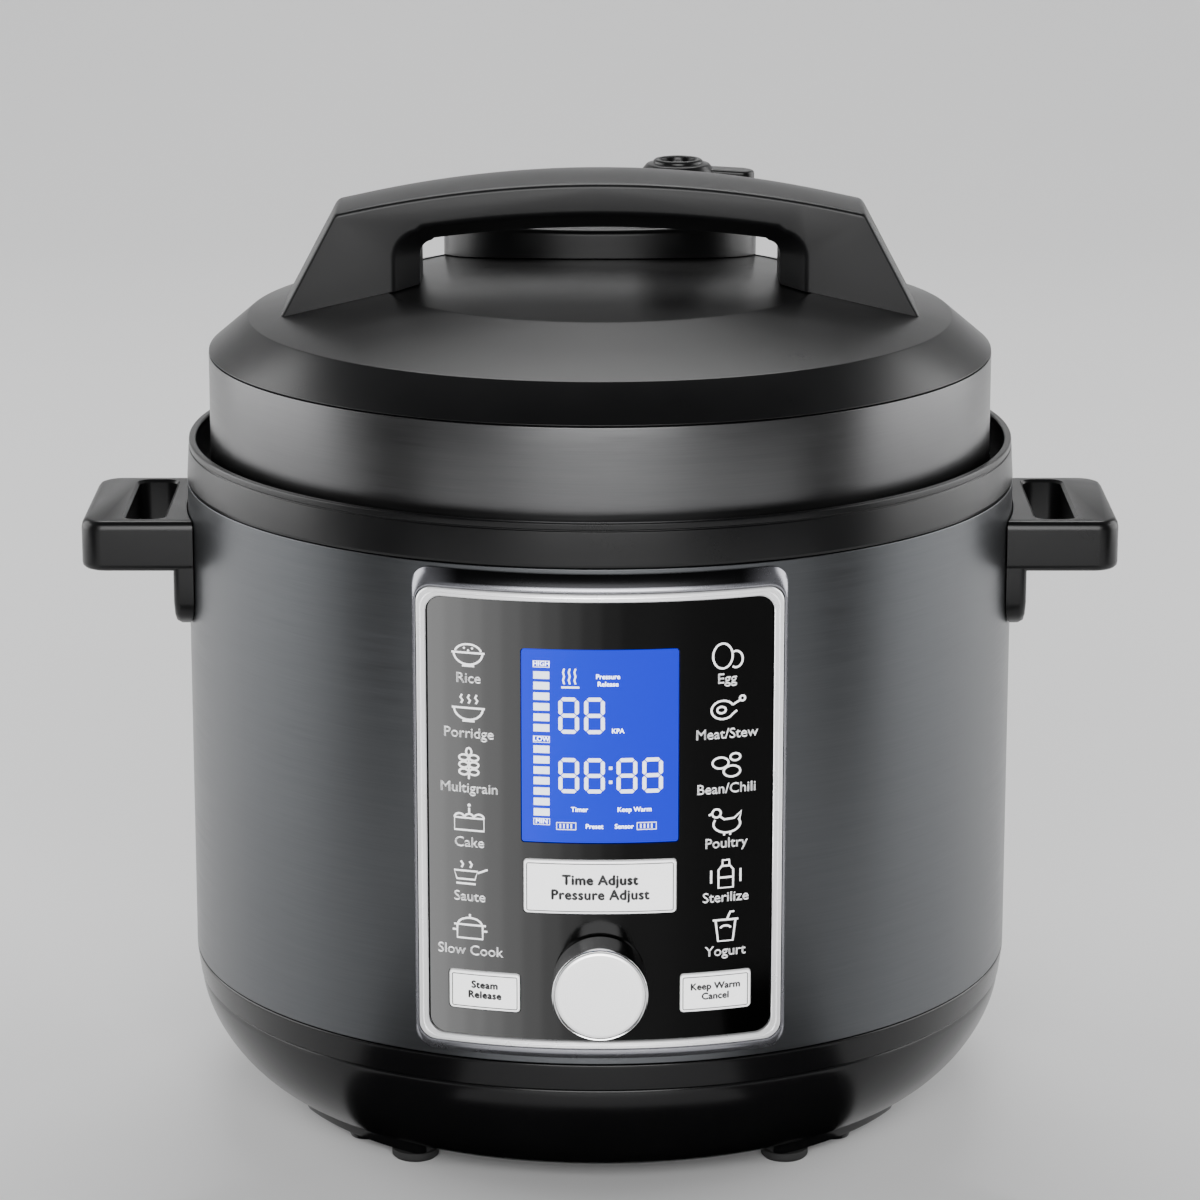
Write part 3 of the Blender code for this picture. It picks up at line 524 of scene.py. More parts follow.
INLET_X = span("power_inlet", 0)
INLET_Z = span("power_inlet", 2)
base = surface("base_bowl", base_grid, BASE_BLACK, "root", ["base_shell"], close_rows=True,
               close_columns=True, slot="black_plastic", smooth=40)


def solid(grid):
    """The mesh of a stack of closed levels with flat ends, for a Boolean or a bracket."""
    rows, columns = grid.shape[:2]
    faces = grid_quads(rows, columns, False, True).tolist() + end_faces(rows, columns)
    data = bpy.data.meshes.new("solid")
    data.from_pydata((grid.reshape(-1, 3) * MM).tolist(), [], faces)
    mesh = bmesh.new()
    mesh.from_mesh(data)
    bmesh.ops.recalc_face_normals(mesh, faces=mesh.faces)
    mesh.to_mesh(data)
    mesh.free()
    return data


def carve(piece, meshes, operation="DIFFERENCE"):
    """Apply a Boolean with each mesh, so that no live cutter stays in the scene."""
    for data in meshes:
        tool = link("tool", data)
        cut = piece.modifiers.new("cut", "BOOLEAN")
        cut.object, cut.operation, cut.solver = tool, operation, "EXACT"
        graph = bpy.context.evaluated_depsgraph_get()
        result = bpy.data.meshes.new_from_object(piece.evaluated_get(graph))
        piece.modifiers.remove(cut)
        piece.data = result
        bpy.data.objects.remove(tool)
    piece.data.shade_smooth()
    piece.data.set_sharp_from_angle(angle=math.radians(35))


INLET_GAP = 0.3
inlet_hole = np.array([(INLET_X[0] - INLET_GAP, 90), (INLET_X[1] + INLET_GAP, 90),
                       (INLET_X[1] + INLET_GAP, 140), (INLET_X[0] - INLET_GAP, 140)])
hole_z = (INLET_Z[0] - INLET_GAP, INLET_Z[1] + INLET_GAP)
carve(base, [solid(np.array([level(inlet_hole, z) for z in hole_z]))])
report()

# %% [markdown]
# ## Feet
#
# Four arc-shaped blocks are moulded under the bowl. Each carries a screw boss half way along and a
# rubber pad at its end. An arc block is a rounded rectangle whose first coordinate is bent into an
# angle, the second into a radius.

# %% Foot blocks and pads
FOOT_TOP_Z = 8.3
FOOT_HEIGHT = span("rubber_foot_1", 2)[1]


def arc_block(start, end, radii, heights, steps=6):
    """A rounded block along an arc: u is the angle, v the radius, drawn in from its lower edge."""
    middle_r, half_r = sum(radii) / 2, (radii[1] - radii[0]) / 2
    middle_a, half_a = (start + end) / 2, (end - start) / 2 * middle_r
    levels = []
    for inset, z in ((0, heights[1]), (0, heights[0] + 1.2), (0.35, heights[0] + 0.35),
                     (1.2, heights[0])):
        points, normals = outline(half_a - inset, half_r - inset, 3.0, steps, along=14)
        angle, radius = middle_a + points[:, 0] / middle_r, middle_r + points[:, 1]
        levels.append(level(np.stack([radius * np.cos(angle), radius * np.sin(angle)], -1), z))
    return np.array(levels)


for number in range(1, 5):
    low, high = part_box(f"rubber_foot_{number}")
    x, y = (low[0] + high[0]) / 2 / MM, (low[1] + high[1]) / 2 / MM
    foot_angle = math.atan2(y, x)
    turn = 1 if x * y > 0 else -1
    ends = sorted((foot_angle + turn * math.radians(4.5), foot_angle - turn * math.radians(28)))
    block = arc_block(*ends, (95.0, 107.0), (FOOT_HEIGHT + 0.6, FOOT_TOP_Z))
    surface(f"foot_block_{number}", block, BASE_BLACK, "root", caps=True, close_columns=True,
            slot="black_plastic")
    boss_angle = sum(ends) / 2
    boss = (101 * math.cos(boss_angle), 101 * math.sin(boss_angle))
    turned(f"foot_boss_{number}", [(0, 3.4), (2.2, 3.4), (2.2, 2.2), (5.0, 2.2), (5.6, 3.8), (0, 3.8)],
           [0, 0, 0.1, 0.4, 0.2, 0], BASE_BLACK, "root", segments=40, centre=boss,
           slot="black_plastic")
    turned(f"foot_pad_{number}", [(0, 3.0), (6.2, 3.0), (7.5, 3.0), (7.5, 0.9), (6.6, 0.0), (0, 0.0)],
           [0, 0, 0.2, 0.5, 0.4, 0], RUBBER, "root", [f"rubber_foot_{number}"], segments=48,
           centre=(x, y), slot="rubber")
report()

# %% [markdown]
# ## Lid
#
# A brushed band, a black cover with a chamfer and a shallow cone, and a low dome inside a crisp step.
# The cover's height is needed again by the handle and the valve housing that stand on it, so it is a
# function of the radius.

# %% Lid band and cover
BAND_Z = span("lid_band", 2)
DOME_R, DOME_Z, DOME_RISE = 71.0, 269.2, 3.5
CONE_R, CONE_Z = 113.6, 259.3


def cover_height(r):
    """Piecewise over the radius: a parabola inside the step, then a cone, then the chamfer."""
    r = np.asarray(r, float)
    dome = DOME_Z + DOME_RISE * (1 - (r / DOME_R) ** 2)
    cone = DOME_Z + (CONE_Z - DOME_Z) * (r - DOME_R) / (CONE_R - DOME_R)
    chamfer = CONE_Z - (r - CONE_R) * (CONE_Z - BAND_Z[1]) / (LID_R - CONE_R)
    return np.where(r < DOME_R, dome, np.where(r < CONE_R, cone, chamfer))


turned("lid_side", [(LID_R, BAND_Z[1] - 0.1), (LID_R, BAND_Z[0]), (LID_R - 1.0, BAND_Z[0]),
                    (LID_R - 1.0, BAND_Z[1] - 0.1)], 0.25, BAND_STEEL, "lid", ["lid_band"],
       segments=256, slot="brushed_steel")
edge_z = BAND_Z[1] + 0.25
dome_r = np.linspace(0, DOME_R - 0.55, 16)
dome_part = np.stack([dome_r, cover_height(dome_r) - 0.25], 1)
mid_cone = (90.0, float(cover_height(90)) - 0.1)
step_part = filleted([(DOME_R - 0.5, DOME_Z - 0.25), (DOME_R - 0.2, DOME_Z + 0.1),
                      (DOME_R + 0.9, DOME_Z - 0.15), mid_cone], [0, 0.12, 0.6, 0], closed=False)[1:-1]
rim_part = filleted([mid_cone, (CONE_R, CONE_Z - 0.05), (LID_R, edge_z + 0.3),
                     (LID_R - 0.3, edge_z), (124.8, edge_z), (124.8, 240.0), (122.8, 240.0),
                     (122.8, 247.2), (112.4, 256.6), (70.6, 266.3)],
                    [0, 1.1, 0.45, 0.15, 0.2, 0.5, 0.5, 1, 3, 3], closed=False)
under_r = np.linspace(68, 0, 10)
under_part = np.stack([under_r, cover_height(under_r) - 2.9], 1)
cover_profile = np.concatenate([dome_part, step_part, rim_part, under_part])
surface("lid_top", turned_grid(cover_profile, 256), BLACK_SATIN, "lid", ["lid_cover"],
        close_columns=True, slot="black_plastic", smooth=28)


def rod(centre, radius, z, sides=40):
    """A hidden upright cylinder for a Boolean."""
    return solid(turned_grid(np.array([(radius, z[0]), (radius, z[1])]), sides, centre))


def middle(node):
    """The middle of a CAD node in plan, in millimetres."""
    low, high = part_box(node)
    return tuple(float((low[k] + high[k]) / 2 / MM) for k in (0, 1))


VENT_AT = middle("vent_pipe")
FLOAT_AT = middle("float_valve")
report()

# %% [markdown]
# ## Lid handle
#
# The handle is an arch. At each station across it, its outline runs up one leaning end, over a crowned
# top, down the other end, and back under the grip. The opening flares towards front and back, so the
# outline changes with the station, and a fine bevel runs round both faces. Its feet follow the cover.

# %% Lid handle
GRIP_HALF = span("lid_handle", 1)[1]
GRIP_CREST, GRIP_EDGE, GRIP_RAKE = 306.8, 303.9, 2.2
END_LEAN = math.tan(math.radians(62))
GRIP_BEVEL = 1.1


def grip_top(x, y):
    """The crown: a parabola along x, lower towards front and back, and leaning back a little."""
    crest = GRIP_CREST - 10.6 * (x / 85) ** 2
    edge = GRIP_EDGE - 9.5 * (x / 83.7) ** 2
    return crest + (edge - crest) * (y / GRIP_HALF) ** 2 - GRIP_RAKE * (y / GRIP_HALF + 1) / 2


def grip_outline(y):
    """Half the outline at one station, from the foot's outer edge over the top to the foot's inner edge."""
    flare = max(0.0, (abs(y) - 12.5) / (GRIP_HALF - 12.5))
    half, corner, ceiling = 57.5 + 8.1 * flare, 4.6 + 4.4 * flare, 288.9 + 5.8 * flare
    foot_x = 101.7
    foot_z = float(cover_height(math.hypot(foot_x, y))) + 0.15
    end_x = foot_x - (grip_top(84, y) - foot_z) / END_LEAN
    x = np.linspace(78, 0, 40)
    over = np.concatenate([[(foot_x, foot_z), (end_x, float(grip_top(84, y)))],
                           np.stack([x, grip_top(x, y)], 1)])
    over = filleted(over, [0, 3.2] + [0] * 40, steps=8, closed=False)
    under_x = np.linspace(0, half - corner, 14)
    under = np.stack([under_x, ceiling - 0.00125 * under_x ** 2], 1)
    angle = np.linspace(0, np.pi / 2, 9)[1:]
    corner_z = ceiling - 0.00125 * half ** 2 - corner
    arc = np.stack([half - corner + corner * np.sin(angle), corner_z + corner * np.cos(angle)], 1)
    inner_z = float(cover_height(math.hypot(half, y))) + 0.15
    down = np.stack([np.full(6, half), np.linspace(corner_z, inner_z, 7)[1:]], 1)
    climb = np.linspace(0, 1, 9)[:, None]
    side = over[0] * (1 - climb) + over[1] * climb
    over = np.concatenate([side[:-1], over[1:]])
    return over, np.concatenate([under, arc, down])


def grip_loop(y, inset):
    """The whole outline, its left half mirrored, shrunk by inset at right angles to itself."""
    over, under = grip_outline(y)
    loop = np.concatenate([over, over[-2::-1] * [-1, 1], (under * [-1, 1])[::-1], under[1:]])
    ahead, behind = np.roll(loop, -1, 0), np.roll(loop, 1, 0)
    along = ahead - behind
    along /= np.linalg.norm(along, axis=1)[:, None]
    inward = np.stack([-along[:, 1], along[:, 0]], 1)
    feet = [0, len(over) * 2 - 2, len(over) * 2 - 1, len(loop) - 1]
    inward[feet, 1] = 0
    inward[feet, 0] = np.sign(loop[feet, 0]) * np.array([-1, -1, 1, 1])
    return upright(loop + inward * inset, y)


bevel_angle = np.linspace(0, np.pi / 2, 5)
bevel_y = GRIP_HALF - GRIP_BEVEL + GRIP_BEVEL * np.sin(bevel_angle)
bevel_in = GRIP_BEVEL * (1 - np.cos(bevel_angle))
flat_y = np.linspace(0, GRIP_HALF - GRIP_BEVEL, 16)
station_y = np.concatenate([-bevel_y[:0:-1], -flat_y[:0:-1], flat_y, bevel_y[1:]])
station_in = np.concatenate([bevel_in[:0:-1], np.zeros(15), np.zeros(16), bevel_in[1:]])
grip_grid = np.array([grip_loop(y, inset) for y, inset in zip(station_y, station_in)])
surface("lid_grip", grip_grid, HANDLE_BLACK, "lid", ["lid_handle"], close_columns=True,
        caps=True, slot="handle_plastic", smooth=28)
report()

# %% [markdown]
# ## Control panel frames
#
# The panel's frames are drawn flat, as rounded rectangles, and wrapped round the body afterwards. Each
# frame is a short list of levels: the size of a rounded rectangle, and the radius at which it lies.
# Consecutive levels are joined by quads, so a bevel is one more level. The surround's silver lacquer
# gets painted shade on its upper bevel, standing in for the dark reflection there, except at both ends.

# %% Panel surround and trim
def wrapped_levels(levels, centre_u=0.0, along=24):
    """One wrapped rounded rectangle for each (half width, (low, high), corner, radius)."""
    rows = []
    for half_u, (low, high), corner, radius in levels:
        points, _ = outline(half_u, (high - low) / 2, corner, 10, along, (centre_u, (low + high) / 2))
        rows.append(on_front(points[:, 0], radius, points[:, 1]))
    return np.array(rows)


TRIM_HALF = span("chrome_trim", 0)[1]
TRIM_Z = span("chrome_trim", 2)
FASCIA_HALF = span("control_fascia", 0)[1]
FASCIA_Z = span("control_fascia", 2)

# The first colour is the lacquer's own silver; the second is painted shade, the upper bevel's dark reflection
# put into the base colour.
SILVER, PAINTED_SHADE = (0.34, 0.34, 0.37), (0.012, 0.012, 0.013)
surround_finish = Finish("silver_lacquer_and_painted_shade", Base_Color=SILVER, Metallic=0.9)
across = surround_finish.axis(0)
is_top, is_middle = (
    surround_finish.node("ShaderNodeMapRange", {"interpolation_type": "SMOOTHSTEP"},
                 {"Value": value, "From Min": start, "From Max": end})
    for value, start, end in ((surround_finish.axis(2), 200.6, 201.5), (across * across, 54 ** 2, 42 ** 2)))
# On the upper bevel, away from both ends, the colour turns to the painted shade.
surround_finish.drive("Base Color", surround_finish.mix(is_top * is_middle, SILVER, PAINTED_SHADE))
surround_finish.drive("Roughness", 0.24 + 0.06 * surround_finish.noise(18, detail=4.0))
surface("panel_frame", wrapped_levels([
    (55.65, (56.2, 199.8), 5.0, 134.4),
    (56.7, (52.5, 205.0), 5.6, 134.4),
    (56.7, (52.5, 205.0), 5.6, 134.6),
    (56.62, (52.9, 203.7), 5.55, 135.6),
    (56.5, (53.8, 202.2), 5.5, 136.35),
    (56.3, (54.6, 200.95), 5.4, 136.8),
    (56.2, (55.0, 200.4), 5.4, 136.95),
    (55.9, (55.45, 200.15), 5.2, 137.0),
    (55.7, (56.0, 199.85), 5.05, 136.95),
    (55.65, (56.2, 199.8), 5.0, 136.75)]), surround_finish.material, "root", ["panel_surround"],
    close_rows=True, close_columns=True, slot="satin_silver", smooth=25)
trim = surface("panel_trim", wrapped_levels([
    (52.5, (58.7, 197.0), 5.0, 134.4),
    (TRIM_HALF, TRIM_Z, 5.0, 134.4),
    (TRIM_HALF, TRIM_Z, 5.0, 137.3),
    (TRIM_HALF - 0.3, (TRIM_Z[0] + 0.3, TRIM_Z[1] - 0.3), 4.9, 137.6),
    (TRIM_HALF - 1.0, (TRIM_Z[0] + 0.8, TRIM_Z[1] - 0.9), 4.9, 137.6),
    (TRIM_HALF - 1.25, (TRIM_Z[0] + 1.0, TRIM_Z[1] - 1.15), 4.9, 137.35),
    (TRIM_HALF - 1.5, (TRIM_Z[0] + 1.2, TRIM_Z[1] - 1.4), 4.9, 137.6),
    (52.8, (58.4, 197.3), 5.0, 137.55),
    (52.5, (58.7, 197.0), 5.0, 137.2)]), TRIM_CHROME, "root", ["chrome_trim"],
    close_rows=True, close_columns=True, slot="chrome", smooth=30)
report()

# %% [markdown]
# ## Fascia
#
# The fascia is one glossy plate with openings for the display, the keys and the knob. It is drawn as a
# flat outline with holes, filled with triangles, and sliced by upright planes every millimetre.
# Only then is it wrapped, so the slices let it bend smoothly. Solidify gives it thickness.

# %% Fascia plate
DISPLAY_HALF = span("display_window", 0)[1]
DISPLAY_Z = span("display_window", 2)
ADJUST_HALF = span("adjust_button", 0)[1]
ADJUST_Z = span("adjust_button", 2)
SMALL_X = middle("cancel_button")[0]
SMALL_HALF = (span("cancel_button", 0)[1] - span("cancel_button", 0)[0]) / 2
SMALL_Z = span("cancel_button", 2)
KNOB_Z = sum(span("control_knob", 2)) / 2
FASCIA_FRONT_R = 136.5
PRINT_R = FASCIA_FRONT_R + 0.03


def slice_upright(mesh, step):
    """Cut a flat mesh at upright lines that lie step millimetres apart."""
    reach = max(abs(vert.co.x) for vert in mesh.verts)
    for u in np.arange(-math.floor(reach / step) * step, reach, step):
        geometry = mesh.verts[:] + mesh.edges[:] + mesh.faces[:]
        bmesh.ops.bisect_plane(mesh, geom=geometry, plane_co=(u, 0, 0), plane_no=(1, 0, 0), dist=1e-4)


def flat_parts(mesh):
    """The points (u, v) and the faces of a flat mesh, which is then let go."""
    mesh.verts.index_update()
    flat = np.array([(vert.co.x, vert.co.z) for vert in mesh.verts])
    faces = [[vert.index for vert in face.verts] for face in mesh.faces]
    mesh.free()
    return flat, faces


def wrapped_plate(name, loops, radius, finish, replaces, thickness, slot):
    """Fill flat loops (the first is the outline, the others are holes), slice and wrap them."""
    mesh = bmesh.new()
    for loop in loops:
        corners = [mesh.verts.new((u, 0, v)) for u, v in loop]
        for first, second in zip(corners, corners[1:] + corners[:1]):
            mesh.edges.new((first, second))
    bmesh.ops.triangle_fill(mesh, edges=mesh.edges[:], use_beauty=True, normal=(0, -1, 0))
    slice_upright(mesh, 1.0)
    bmesh.ops.join_triangles(mesh, faces=mesh.faces[:], angle_face_threshold=0.01,
                             angle_shape_threshold=3.1)
    flat, faces = flat_parts(mesh)
    piece = put(name, on_front(flat[:, 0], radius, flat[:, 1]), faces, finish, "root", replaces, slot)
    mesh = bmesh.new()
    mesh.from_mesh(piece.data)
    mesh.normal_update()
    if sum(face.normal.y * face.calc_area() for face in mesh.faces) > 0:
        bmesh.ops.reverse_faces(mesh, faces=mesh.faces[:])
        mesh.to_mesh(piece.data)
    mesh.free()
    wall = piece.modifiers.new("wall", "SOLIDIFY")
    wall.thickness, wall.offset = thickness * MM, -1
    edge = piece.modifiers.new("edge", "BEVEL")
    edge.width, edge.segments, edge.limit_method = 0.2 * MM, 2, "ANGLE"
    edge.angle_limit, edge.harden_normals = math.radians(50), True
    return piece


def rectangle(half_u, z, corner, centre_u=0.0, steps=6):
    """A flat rounded rectangle as a list of (u, v)."""
    points, _ = outline(half_u, (z[1] - z[0]) / 2, corner, steps, centre=(centre_u, (z[0] + z[1]) / 2))
    return points.tolist()


def circle(radius, centre, count=48):
    """Points on a circle as a list of (u, v)."""
    angle = 2 * np.pi * np.arange(count) / count
    return np.stack([centre[0] + radius * np.cos(angle), centre[1] + radius * np.sin(angle)], 1).tolist()


def window(half_u, z, corner, centre_u=0.0, gap=0.3):
    """An opening that leaves a gap all round what stands in it."""
    return rectangle(half_u + gap, (z[0] - gap, z[1] + gap), corner, centre_u)


fascia = wrapped_plate("fascia_plate", [
    rectangle(FASCIA_HALF, FASCIA_Z, 4.8),
    window(DISPLAY_HALF, DISPLAY_Z, 1.0),
    window(ADJUST_HALF, ADJUST_Z, 1.4),
    window(SMALL_HALF, SMALL_Z, 1.4, SMALL_X),
    window(SMALL_HALF, SMALL_Z, 1.4, -SMALL_X),
    circle(6.0, (0, KNOB_Z))], FASCIA_FRONT_R, FASCIA_BLACK, ["control_fascia"], 2.1, "gloss_black")
report()

# %% [markdown]
# ## Display
#
# The window is a flat blue light behind a smooth face. The blue is an emission on the window itself,
# a little brighter to one side where the lamp sits. All of its segments are thin white plates that lie a
# hair above it. Digits are seven-segment figures, where each segment is a hexagon.

# %% Display window
lamp = Finish("display_blue", Base_Color=(0.002, 0.005, 0.03), Specular_IOR_Level=0.12,
              Emission_Strength=1.3)
ramp = lamp.node("ShaderNodeMapRange", {}, {"Value": lamp.axis(0), "From Min": -DISPLAY_HALF,
                                            "From Max": DISPLAY_HALF, "To Min": 1.0, "To Max": 0.0})
glow = ramp ** 2.0 + 0.12 * lamp.noise(9, detail=1.0)
lamp.drive("Emission Color", lamp.mix(glow, (0.0, 0.005, 0.86), (0.01, 0.03, 1.0)))
lamp.drive("Roughness", 0.1 + 0.06 * lamp.noise(12))
wrapped_plate("display_face", [rectangle(DISPLAY_HALF, DISPLAY_Z, 0.8)], 136.4, lamp.material,
              ["display_window"], 1.1, "window")

lit = Finish("display_segments", Base_Color=(0.8, 0.86, 1.0), Roughness=0.3, Emission_Strength=1.7)
lit.drive("Emission Color", lit.mix(lit.noise(2.0, detail=1.0), (0.72, 0.80, 1.0), (0.92, 0.95, 1.0)))
SEGMENT_WHITE = lit.material
SEGMENT_R = 136.43


def printed(name, flat, faces, radius, finish, body):
    """Wrap flat faces round the front, and turn each of them so that it faces the reader."""
    data = bpy.data.meshes.new(name)
    data.from_pydata((on_front(flat[:, 0], radius, flat[:, 1]) * MM).tolist(), [], faces)
    mesh = bmesh.new()
    mesh.from_mesh(data)
    mesh.normal_update()
    bmesh.ops.reverse_faces(mesh, faces=[face for face in mesh.faces if face.normal.y > 0])
    mesh.to_mesh(data)
    mesh.free()
    data.materials.append(finish)
    return ride(link(name, data), body)


def flat_pieces(name, polygons, radius, finish, body):
    """Many flat outlines in one wrapped mesh. Long ones are cut at upright lines before wrapping."""
    mesh = bmesh.new()
    for polygon in polygons:
        mesh.faces.new([mesh.verts.new((u, 0, v)) for u, v in polygon])
    slice_upright(mesh, 2.5)
    return printed(name, *flat_parts(mesh), radius, finish, body)


def bar(u0, u1, v0, v1, lean=0.0):
    """A parallelogram: its upper edge is shifted sideways by lean."""
    return [(u0, v0), (u1, v0), (u1 + lean, v1), (u0 + lean, v1)]


def ring(u0, u1, v0, v1, wide):
    """Four bars that make a thin box."""
    return [bar(u0, u1, v1 - wide, v1), bar(u0, u1, v0, v0 + wide),
            bar(u0, u0 + wide, v0 + wide, v1 - wide), bar(u1 - wide, u1, v0 + wide, v1 - wide)]


def figure(u, v, wide, high, stroke=1.2, gap=0.2):
    """A figure of eight from seven hexagonal segments, with its lower left corner at (u, v)."""
    h = stroke / 2

    def along(u0, u1, middle_v):
        return [(u0, middle_v), (u0 + h, middle_v - h), (u1 - h, middle_v - h), (u1, middle_v),
                (u1 - h, middle_v + h), (u0 + h, middle_v + h)]

    def up(middle_u, v0, v1):
        return [(middle_u, v0), (middle_u + h, v0 + h), (middle_u + h, v1 - h), (middle_u, v1),
                (middle_u - h, v1 - h), (middle_u - h, v0 + h)]

    left, right, low, mid, top = u + h, u + wide - h, v + h, v + high / 2, v + high - h
    segments = [along(left + gap, right - gap, place) for place in (low, mid, top)]
    for place in (left, right):
        segments += [up(place, low + gap, mid - gap), up(place, mid + gap, top - gap)]
    return segments


D = DISPLAY_Z[0]
L = -DISPLAY_HALF
marks = []
for k in range(13):
    bottom = D + 8.3 + 3.28 * k + (3.4 if k > 6 else 0)
    marks.append(bar(L + 3.6, L + 8.4, bottom, bottom + 2.3))
for place in (D + 5.4, D + 31.2, D + 54.6):
    marks += ring(L + 3.5, L + 8.5, place, place + 2.1, 0.22)
for column in (0, 1):
    marks += figure(L + 11.1 + 7.75 * column, D + 34.2, 6.2, 11.3)
for u in (11.1, 18.85, 28.6, 36.35):
    marks += figure(L + u, D + 15.6, 6.2, 11.0)
for v in (18.6, 23.0):
    marks.append(bar(L + 26.3, L + 27.3, D + v, D + v + 1.0))
for u in (10.4, 34.7):
    marks += ring(L + u, L + u + 6.0, D + 4.0, D + 6.4, 0.22)
    marks += [bar(L + u + 1.0 + 1.1 * k, L + u + 1.45 + 1.1 * k, D + 4.5, D + 5.9) for k in range(4)]
for k in range(3):
    for part in range(4):
        lean = 0.35 if part % 2 else -0.35
        bottom = D + 49.6 + 1.2 * part
        u = L + 12.6 + 1.7 * k - (0.35 if part % 2 else 0)
        marks.append(bar(u, u + 0.55, bottom, bottom + 1.2, lean))
marks.append(bar(L + 12.0, L + 17.4, D + 48.3, D + 48.9))
flat_pieces("display_marks", marks, SEGMENT_R, SEGMENT_WHITE, "root")
report()

# %% [markdown]
# ## Lettering
#
# Plain function words are set in Blender's own font. The text becomes a mesh, is scaled to its cap
# height, and each of its points is wrapped onto the same cylinder as the fascia. Every word is laid four
# times, a hair to each side, which thickens its strokes. The letters that sit on the keys ride with them.

# %% Words
def words(name, lines, radius, finish, body, high, bold, tight=1.0):
    """Wrap words round the front. Each line is (text, centre u, base v)."""
    points, faces = [], []
    for text, centre_u, base_v in lines:
        curve = bpy.data.curves.new(name, "FONT")
        curve.body, curve.align_x, curve.size = text, "CENTER", high / 0.7
        curve.space_character, curve.resolution_u = tight, 3
        holder = link(name, curve)
        graph = bpy.context.evaluated_depsgraph_get()
        flat = bpy.data.meshes.new_from_object(holder.evaluated_get(graph))
        bpy.data.objects.remove(holder)
        for du, dv in ((-bold, 0), (bold, 0), (0, -bold), (0, bold)):
            start = len(points)
            points += [(centre_u + vert.co.x + du, base_v + vert.co.y + dv) for vert in flat.vertices]
            faces += [[start + index for index in face.vertices] for face in flat.polygons]
        bpy.data.meshes.remove(flat)
    return printed(name, np.array(points), faces, radius, finish, body)


def ink(name, first, second):
    """Matt ink that varies a little between two colours."""
    made = Finish(name, Roughness=0.5)
    made.drive("Base Color", made.mix(made.noise(0.6), first, second))
    return made.material


WHITE_INK = ink("white_ink", (0.86, 0.86, 0.87), (0.94, 0.94, 0.95))
DARK_INK = ink("dark_ink", (0.012, 0.012, 0.014), (0.03, 0.03, 0.03))

COLUMNS = (-39.6, 38.2)
LEFT_WORDS = ("Rice", "Porridge", "Multigrain", "Cake", "Saute", "Slow Cook")
RIGHT_WORDS = ("Egg", "Meat/Stew", "Bean/Chili", "Poultry", "Sterilize", "Yogurt")
ROW_TOP, ROW_PITCH = 170.6, 17.2
label_lines = []
for row in range(6):
    base_v = ROW_TOP - ROW_PITCH * row
    label_lines += [(LEFT_WORDS[row], COLUMNS[0], base_v), (RIGHT_WORDS[row], COLUMNS[1], base_v)]
menu_words = words("menu_words", label_lines, PRINT_R, WHITE_INK, "root", high=3.1, bold=0.04)
words("display_words", [("HIGH", L + 6, D + 55.1), ("LOW", L + 6, D + 31.7), ("MIN", L + 6, D + 5.9),
                        ("KPA", L + 29.0, D + 34.4), ("Timer", L + 17.4, D + 9.8),
                        ("Keep Warm", L + 34.0, D + 9.8), ("Preset", L + 21.9, D + 4.5),
                        ("Sensor", L + 30.9, D + 4.5), ("Pressure", L + 26.0, D + 51.3),
                        ("Release", L + 26.0, D + 49.0)],
      SEGMENT_R, SEGMENT_WHITE, "root", high=1.45, bold=0.06)
report()

# %% [markdown]
# ## Keys
#
# Each key is a wrapped block with a soft edge: the same levels as the frames, closed at the front by
# shrinking the outline to nothing. A thin dark line is printed just inside its edge, and its words
# sit on it. All of that rides with the key's own body.

# %% Keys
KEY_R = 137.3
KEYS = {"adjust_button": (0.0, ADJUST_HALF, ADJUST_Z),
        "steam_button": (-SMALL_X, SMALL_HALF, SMALL_Z),
        "cancel_button": (SMALL_X, SMALL_HALF, SMALL_Z)}
KEY_EDGE = ((0, 132.0), (0, KEY_R - 0.5), (0.06, KEY_R - 0.28), (0.2, KEY_R - 0.1), (0.45, KEY_R),
            (0.9, KEY_R), (2.5, KEY_R), (4.5, KEY_R), (5.9, KEY_R))
caps = []
for node, (centre_u, half_u, z) in KEYS.items():
    levels = [(half_u - inset, (z[0] + inset, z[1] - inset), max(0.05, 1.2 - inset / 5), radius)
              for inset, radius in KEY_EDGE]
    caps.append(surface(f"{node}_cap", wrapped_levels(levels, centre_u, 16), SILVER_KEY, node, [node],
                        close_columns=True, caps=True, slot="satin_silver", smooth=30))

INK_R = KEY_R + 0.04
inset_line = 0.75
for node, (centre_u, half_u, z) in KEYS.items():
    middle_z, half_z = (z[0] + z[1]) / 2, (z[1] - z[0]) / 2
    outer, normals = outline(half_u - inset_line, half_z - inset_line, 0.6, 4, centre=(centre_u, middle_z))
    inner = outer - normals * 0.28
    quads = np.stack([outer, np.roll(outer, -1, 0), np.roll(inner, -1, 0), inner], 1)
    flat_pieces(f"{node}_line", quads, INK_R, DARK_INK, node)

for key, lines, high, bold, tight in (
        ("adjust", [("Time Adjust", 0.0, 109.0), ("Pressure Adjust", 0.0, 104.3)], 3.05, 0.2, 1.06),
        ("steam", [("Steam", -SMALL_X, 74.4), ("Release", -SMALL_X, 71.2)], 2.2, 0.17, 1.06),
        ("cancel", [("Keep Warm", SMALL_X, 74.4), ("Cancel", SMALL_X, 71.2)], 2.1, 0.14, 1.02)):
    words(f"{key}_words", lines, INK_R, DARK_INK, f"{key}_button", high, bold, tight)
report()

# %% [markdown]
# ## Knob
#
# The knob is turned about an axis that points at the reader. Its profile is worked out as for any turned
# piece, and the axes are swapped afterwards: the profile's height runs along -Y. The satin face has
# rings left by the lathe, so its noise depends on the distance from the axis alone.

# %% Knob
def facing(grid, centre_z):
    """Turn a grid about Z into one about the knob's axis: (x, y, z) becomes (x, -z, centre + y)."""
    return np.stack([grid[..., 0], -grid[..., 2], centre_z + grid[..., 1]], -1)


